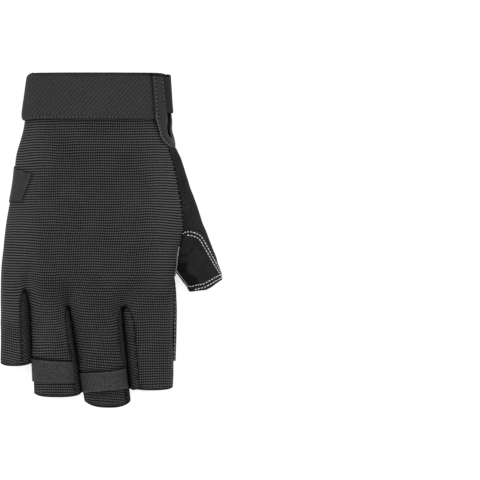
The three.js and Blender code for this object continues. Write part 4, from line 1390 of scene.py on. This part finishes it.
def thread_of(colour):
    """A thread by its name in the settings, or the dark of the needle holes."""
    if colour == "hole":
        return cached(thread, "needle holes", (0.001, 0.001, 0.001), 0.0)
    return cached(thread, f"{colour} thread", getattr(settings().stitching, colour))


def sew(name, lines, colour, slot, pitch, length, thickness):
    """One mesh of stitches along lines of points in millimetres."""
    tree = bpy.data.node_groups.get("sewn stitches") or stitch_tree()
    points, edges = [], []
    for line in lines:
        edges += [(len(points) + k, len(points) + k + 1) for k in range(len(line) - 1)]
        points += (line * MM).tolist()
    mesh = bpy.data.meshes.new(name)
    mesh.from_pydata(points, edges, [])
    path = bpy.data.objects.new(name, mesh)
    bpy.context.scene.collection.objects.link(path)
    material = thread_of(colour)
    values = {"Pitch": pitch, "Stitch Length": length, "Thickness": thickness, "Thread": material}
    sewing = path.modifiers.new("stitches", "NODES")
    sewing.node_group = tree
    for item in tree.interface.items_tree:
        if item.in_out == "INPUT" and item.name in values:
            sewing[item.identifier] = values[item.name]
    graph = bpy.context.evaluated_depsgraph_get()
    result = bpy.data.meshes.new_from_object(path.evaluated_get(graph))
    path.modifiers.remove(sewing)
    path.data = result
    result.name = name
    result.polygons.foreach_set("use_smooth", np.ones(len(result.polygons), bool))
    sewn(path, material, slot)


def sew_row(name, *lines, holes=False):
    """A row of the table above, with a dark needle hole between each two stitches if asked."""
    colour, slot, pitch, length, thickness = STITCHES[name]
    sew(name, lines, colour, slot, pitch, length, thickness)
    if holes:
        shifted = []
        for line in lines:
            lengths = lengths_along(line)
            run = np.arange(pitch / MM / 2, lengths[-1], 0.3)
            shifted.append(at_lengths(line, lengths, run))
        sew(name + "_holes", shifted, "hole", slot, pitch, length * 0.75, thickness * 1.5)


def piece_of(name):
    return bpy.data.objects[name]


def thumb_at(around, down):
    return THUMBS.at(np.clip(down, 0, 2), np.clip(around, 0, 1))


def thumb_hem_down(around, up):
    """The place down the thumb that is a distance above its hem."""
    around = np.asarray(around, float)
    hem, above = (thumb_at(around, np.full_like(around, down)) for down in (2.0, 1.5))
    return thumb_end(around) - 0.5 * up / np.linalg.norm(hem - above, axis=-1)


# The thumb patch's upper row of stitches: places round the thumb and down it
THUMB_ROW_AROUND = (0.02, 0.04, 0.09, 0.147, 0.195, 0.235, 0.278, 0.328, 0.38, 0.425, 0.462, 0.488)
THUMB_ROW_DOWN = (0.695, 0.686, 0.68, 0.693, 0.712, 0.745, 0.795, 0.86, 0.92, 0.985, 1.2, 1.72)
THUMB_ROW_SPACE = 1.9


def evened(line, step=0.4, passes=12):
    """A line of points at even steps, with its corners rounded."""
    lengths = lengths_along(line)
    line = at_lengths(line, lengths, np.arange(0, lengths[-1], step))
    for _ in range(passes):
        line[1:-1] = (line[:-2] + 2 * line[1:-1] + line[2:]) / 4
    return line


def thumb_patch_rows():
    """The patch's two rows of stitches: under its upper edge and above the thumb's hem."""
    piece = piece_of("thumb_patch_suede")
    tree = surface_tree(piece)
    t = np.linspace(0, 1, 200) * (len(THUMB_ROW_AROUND) - 1)
    a, d = (np.interp(t, np.arange(len(v)), v) for v in (THUMB_ROW_AROUND, THUMB_ROW_DOWN))
    first = evened(thumb_at(a, d))
    along = unit(np.gradient(first, axis=0))
    lines = []
    for inset in (0.0, THUMB_ROW_SPACE):
        line = []
        for point, way in zip(first, along):
            _, normal, _, _ = tree.find_nearest(Vector(point))
            normal = np.array(normal) * (1 if normal.z > 0 else -1)
            start = point + np.cross(way, normal) * inset + normal * 5
            at, _, _, _ = tree.ray_cast(Vector(start), Vector(-normal), 9)
            if at is not None:
                line.append(np.array(at) + normal * 0.1)
        line = np.array(line)
        lines.append(line[8:-3] if inset else line)
        a = np.linspace(0.16 - 0.045 * inset, 0.49 - 0.012 * inset, 90)
        up = 1.3 + inset + 0.6 * bump(a, 0.34, 0.1)
        lines.append(laid(piece, thumb_at, a, thumb_hem_down(a, up), 0.12, -1))
    return lines


def border(u0, u1, v0, v1, count=60):
    """A closed path round a rectangle of two numbers."""
    t = np.linspace(0, 1, count)
    corners = ((u0, v0), (u1, v0), (u1, v1), (u0, v1), (u0, v0))
    sides = [[lerp(a, b, t) for a, b in zip(*ends)] for ends in zip(corners, corners[1:])]
    return np.concatenate(sides, 1)


def thumb_patch_stitches():
    stitching = settings().stitching
    size = (stitching.pitch, stitching.length, stitching.thickness)
    sew("stitches_thumb_patch", thumb_patch_rows(), "white", "patch_suede", *size)


def cuff_stitches():
    reach, y = binding_path()
    tape = piece_of("slit_tape")

    def on_tape(across, lift, rows=slice(None)):
        places = (lerp(v[rows, 0], v[rows, -1], across) for v in (reach, y))
        return laid(tape, wrist_point, *places, lift)

    sew_row("stitches_binding", on_tape(0.84, 0.06), on_tape(0.14, 0.1, slice(2, 35)), holes=True)
    piping = on_tape(0.985, 0.02)
    sew_row("binding_edge", piping[len(piping) // 3 : len(piping) * 5 // 6])
    turn = np.linspace(0.015, 0.955, 220)
    elastic, foot = piece_of("cuff_elastic"), turn * 0 + CUFF_BOTTOM + 0.9
    line = laid(elastic, lambda s, v: HANDS[BACK].at(-v, s), turn, foot, 0.0)
    sew_row("stitches_cuff", line, holes=True)


def back_stitches():
    cloth = piece_of("back_cloth")

    def on_back(finger, u, y, lift):
        return laid(cloth, lambda a, b: panel_point(BACK, finger, a, b), u, y, lift)

    u = np.linspace(0.03, 0.97, 60)
    hems = [hem_y(finger, lerp(*seams(BACK, finger), u)) + 2.1 for finger in range(4)]
    sew_row("stitches_hems", *(on_back(finger, u, hem, 0.05) for finger, hem in enumerate(hems)))
    y = np.linspace(48, -3, 90)
    sew_row("stitches_thumb_seam", on_back(INDEX, y * 0 + 0.965, y, 0.1))
    y = np.linspace(-4, -19, 60)
    side = lerp(0.945, 0.98, smooth(-y, 9, 14))
    sew_row("stitches_edge", on_back(INDEX, side, y, 0.25))


def loop_stitches():
    u = np.linspace(0.01, 0.99, 60)
    lines = []
    for finger, name in LOOPS:
        ribbon = piece_of(f"pull_ribbon_{name}")
        lines.append(laid(ribbon, lambda a, b, k=finger: loop_place(k, a, b), u, u * 0 + 0.92, 0.06))
    sew_row("stitches_loops", *lines)


def edge_stitches():
    y = np.linspace(-25, -65, 70)
    x = panel_point(PALM, INDEX, patch_reach(y), y)[:, 0] + lerp(0.3, 0.8, smooth(-y, 26, 40))
    sew_row("stitches_palm_patch", dropped(piece_of("palm_patch_suede"), x, y, 0.1))
    down = np.linspace(1.0, 1.93, 50)
    places = ((piece_of("thumb_suede"), 0.008), (piece_of("thumb_patch_suede"), 0.04))
    lines = (laid(on, thumb_at, down * 0 + around, down, 0.1, -1) for on, around in places)
    sew_row("stitches_thumb_edge", *lines)
    label = laid(piece_of("side_label_cloth"), label_place, *border(0.08, 0.93, 0.07, 0.93), 0.05)
    sew_row("stitches_label", label)
    top = CUFF_TOP - TAB_INSET
    tab = border(12.0, TAB_LENGTH - 8, top - 1.5, top - TAB_WIDTH + 1.5, 120)
    sew_row("stitches_tab", laid(piece_of("closing_tape"), wrist_point, *tab, 0.05))


def lamp(name, place, size, power, turn):
    light = bpy.data.lights.new(name, "AREA")
    light.size, light.energy = size, power
    lamp = bpy.data.objects.new(name, light)
    lamp.location, lamp.rotation_euler = place, turn
    bpy.context.scene.collection.objects.link(lamp)


FLOOR_LEVEL = -0.0003


def stage():
    """A white floor, soft light from all round and the camera straight above."""
    look = settings().stage
    f = Finish("floor", Roughness=0.9, Specular_IOR_Level=0.1)
    f.shader.inputs["Base Color"].default_value = tone((look.floor,) * 3, 1)
    f.shader.inputs["Emission Color"].default_value = (1, 1, 1, 1)
    f.shader.inputs["Emission Strength"].default_value = look.floor_glow
    mesh = bpy.data.meshes.new("floor")
    corners = [(x, y, FLOOR_LEVEL) for x, y in ((-1.5, -1.5), (1.5, -1.5), (1.5, 1.5), (-1.5, 1.5))]
    mesh.from_pydata(corners, [], [(0, 1, 2, 3)])
    floor = bpy.data.objects.new("floor", mesh)
    mesh.materials.append(f.material)
    bpy.context.scene.collection.objects.link(floor)
    world = bpy.data.worlds.new("studio")
    bpy.context.scene.world = world
    world.use_nodes = True
    background = world.node_tree.nodes["Background"]
    background.inputs["Strength"].default_value = look.sky
    background.inputs["Color"].default_value = (1, 1, 1, 1)
    lamp("overhead", (0.08, 0.25, 1.6), 1.2, look.light, (math.radians(-9), 0, 0))
    camera = bpy.data.cameras.new("camera")
    camera.lens, camera.sensor_width = look.lens, 36
    camera.clip_end = 10
    eye = bpy.data.objects.new("camera", camera)
    eye.location = (0.081, 0, look.height)
    bpy.context.scene.collection.objects.link(eye)
    bpy.context.scene.camera = eye
    bpy.context.scene.view_settings.view_transform = "Standard"


def length(name, description, default, low=0.0, high=1.0):
    """A length in metres."""
    return FloatProperty(
        name=name, description=description, default=default,
        min=low, max=high, subtype="DISTANCE", unit="LENGTH", precision=5,
    )


def paint(name, description, grey):
    """A colour, from a grey or from three shares."""
    value = (grey,) * 3 if isinstance(grey, float) else grey
    return FloatVectorProperty(
        name=name, description=description, default=value, min=0, max=1, size=3, subtype="COLOR",
    )


def share(name, description, default, low=0.0, high=3.0):
    return FloatProperty(
        name=name, description=description, default=default, min=low, max=high, subtype="FACTOR",
    )


class GloveCloth(bpy.types.PropertyGroup):
    """The back's ribbed cloth, the elastic and the tapes."""

    rib_pitch: length("Rib pitch", "Distance from rib to rib", 0.0014)
    wale_pitch: length("Wale pitch", "Distance from wale to wale", 0.00122)
    rib_depth: length("Rib depth", "Depth of the grooves between ribs", 0.0004)
    # The rib colours are partly painted light on the crests and painted shade in the grooves.
    rib_crest: paint("Rib crest", "Colour of the ribs", 0.122)
    rib_gap: paint("Rib groove", "Colour between the ribs", 0.002)
    elastic: paint("Elastic", "Colour of the cuff's elastic", 0.0325)
    binding: paint("Binding", "Colour of the tape round the slit", 0.023)
    hook_tape: paint("Closing tape", "Colour of the closing tab", 0.02)
    ribbon: paint("Ribbon", "Colour of the pull loops", 0.035)
    label: paint("Label", "Colour of the side label", 0.03)


class GloveLeather(bpy.types.PropertyGroup):
    """The palm's and the thumb's suede."""

    suede: paint("Suede", "Colour of the palm's and the thumb's suede", 0.014)
    patch: paint("Patch suede", "Colour of the palm's and the thumb's patches", 0.0095)


class GloveFolds(bpy.types.PropertyGroup):
    """How far the cloth moves out of its plain shape."""

    wrinkle: length("Wrinkles", "Height of the back's soft wrinkles", 0.0004)
    swell: share("Swell", "How much the cloth swells above the pull loops", 1.0)


class GloveStitching(bpy.types.PropertyGroup):
    """The visible stitches."""

    pitch: length("Stitch pitch", "Distance from stitch to stitch", 0.0017)
    length: length("Stitch length", "Length of a stitch", 0.0013)
    thickness: length("Thread thickness", "Thickness of the thread", 0.0005)
    white: paint("White thread", "Thread of the patches' double rows", 0.75)
    cream: paint("Cream thread", "Thread of the back's and the thumb's edges", 0.34)
    pale: paint("Pale thread", "Thread of the binding, the cuff and the loops", 0.16)
    dark: paint("Dark thread", "Thread of the hems", 0.05)


class GloveStage(bpy.types.PropertyGroup):
    """The floor, the light and the camera."""

    floor: share("Floor", "How light the floor is", 0.55, 0.0, 1.0)
    floor_glow: share("Floor glow", "Light that the floor gives off", 0.7, 0.0, 2.0)
    sky: share("Sky", "Strength of the light from all round", 0.8)
    light: FloatProperty(
        name="Overhead light", description="Power of the large light above",
        default=9.0, min=0, unit="POWER",
    )
    height: length("Camera height", "Height of the camera over the floor", 2.21, 0.1, 10.0)
    lens: FloatProperty(
        name="Lens", description="Focal length", default=305.6, min=10, max=1000, unit="CAMERA",
    )


class GloveSettings(bpy.types.PropertyGroup):
    """All of the glove's settings."""

    cloth: PointerProperty(type=GloveCloth, name="Cloth", description="Cloth and tapes")
    leather: PointerProperty(type=GloveLeather, name="Leather", description="Suede and patches")
    folds: PointerProperty(type=GloveFolds, name="Folds", description="Wrinkles and swells")
    stitching: PointerProperty(type=GloveStitching, name="Stitching", description="Threads and stitches")
    stage: PointerProperty(type=GloveStage, name="Stage", description="Floor, light and camera")


def settings():
    return bpy.context.scene.climbing_glove


class Making:
    """What the operators share: each calls its makers in turn."""

    def execute(self, context):
        for make in self.makers:
            make()
        return {"FINISHED"}


class GLOVE_OT_back(Making, bpy.types.Operator):
    """Make the ribbed back of the hand and fingers"""

    bl_idname, bl_label = "glove.back", "Back"
    makers = (back_panel,)


class GLOVE_OT_palm(Making, bpy.types.Operator):
    """Make the suede palm and its patch"""

    bl_idname, bl_label = "glove.palm", "Palm"
    makers = (palm_panel, palm_patch)


class GLOVE_OT_fourchettes(Making, bpy.types.Operator):
    """Make the strips of cloth between the fingers"""

    bl_idname, bl_label = "glove.fourchettes", "Fourchettes"
    makers = (fourchettes,)


class GLOVE_OT_thumb(Making, bpy.types.Operator):
    """Make the thumb and its patch"""

    bl_idname, bl_label = "glove.thumb", "Thumb"
    makers = (thumb_shell, thumb_patch)


class GLOVE_OT_cuff(Making, bpy.types.Operator):
    """Make the elastic cuff, the slit's binding and the closing tab"""

    bl_idname, bl_label = "glove.cuff", "Cuff"
    makers = (cuff_band, slit_binding, closure_tab)


class GLOVE_OT_trims(Making, bpy.types.Operator):
    """Make the two pull loops and the side label"""

    bl_idname, bl_label = "glove.trims", "Loops and label"
    makers = (pull_loops, side_label)


class GLOVE_OT_stitches(Making, bpy.types.Operator):
    """Sew the seams that show"""

    bl_idname, bl_label = "glove.stitches", "Stitches"
    makers = (
        thumb_patch_stitches, cuff_stitches, back_stitches, loop_stitches, edge_stitches,
    )


class GLOVE_OT_stage(Making, bpy.types.Operator):
    """Set the floor, the light and the camera"""

    bl_idname, bl_label = "glove.stage", "Stage"
    makers = (stage,)


PIECES = ("back", "palm", "fourchettes", "thumb", "cuff", "trims", "stitches", "stage")
SETTINGS = ("cloth", "leather", "folds", "stitching", "stage")


class GLOVE_PT_panel(bpy.types.Panel):
    """The glove's pieces and settings"""

    bl_idname, bl_label = "GLOVE_PT_panel", "Climbing glove"
    bl_space_type, bl_region_type, bl_category = "VIEW_3D", "UI", "Glove"

    def draw(self, context):
        for name in PIECES:
            self.layout.operator(f"glove.{name}")
        for name in SETTINGS:
            box = self.layout.box()
            group = getattr(context.scene.climbing_glove, name)
            for key in group.bl_rna.properties.keys():
                if key not in ("rna_type", "name"):
                    box.prop(group, key)


CLASSES = (
    GloveCloth, GloveLeather, GloveFolds, GloveStitching, GloveStage, GloveSettings,
    GLOVE_OT_back, GLOVE_OT_palm, GLOVE_OT_fourchettes, GLOVE_OT_thumb, GLOVE_OT_cuff,
    GLOVE_OT_trims, GLOVE_OT_stitches, GLOVE_OT_stage, GLOVE_PT_panel,
)


def register():
    for each in CLASSES:
        bpy.utils.register_class(each)
    bpy.types.Scene.climbing_glove = PointerProperty(type=GloveSettings)


def unregister():
    del bpy.types.Scene.climbing_glove
    for each in reversed(CLASSES):
        bpy.utils.unregister_class(each)


def main():
    register()
    for name in PIECES:
        getattr(bpy.ops.glove, name)()


if __name__ == "__main__":
    main()
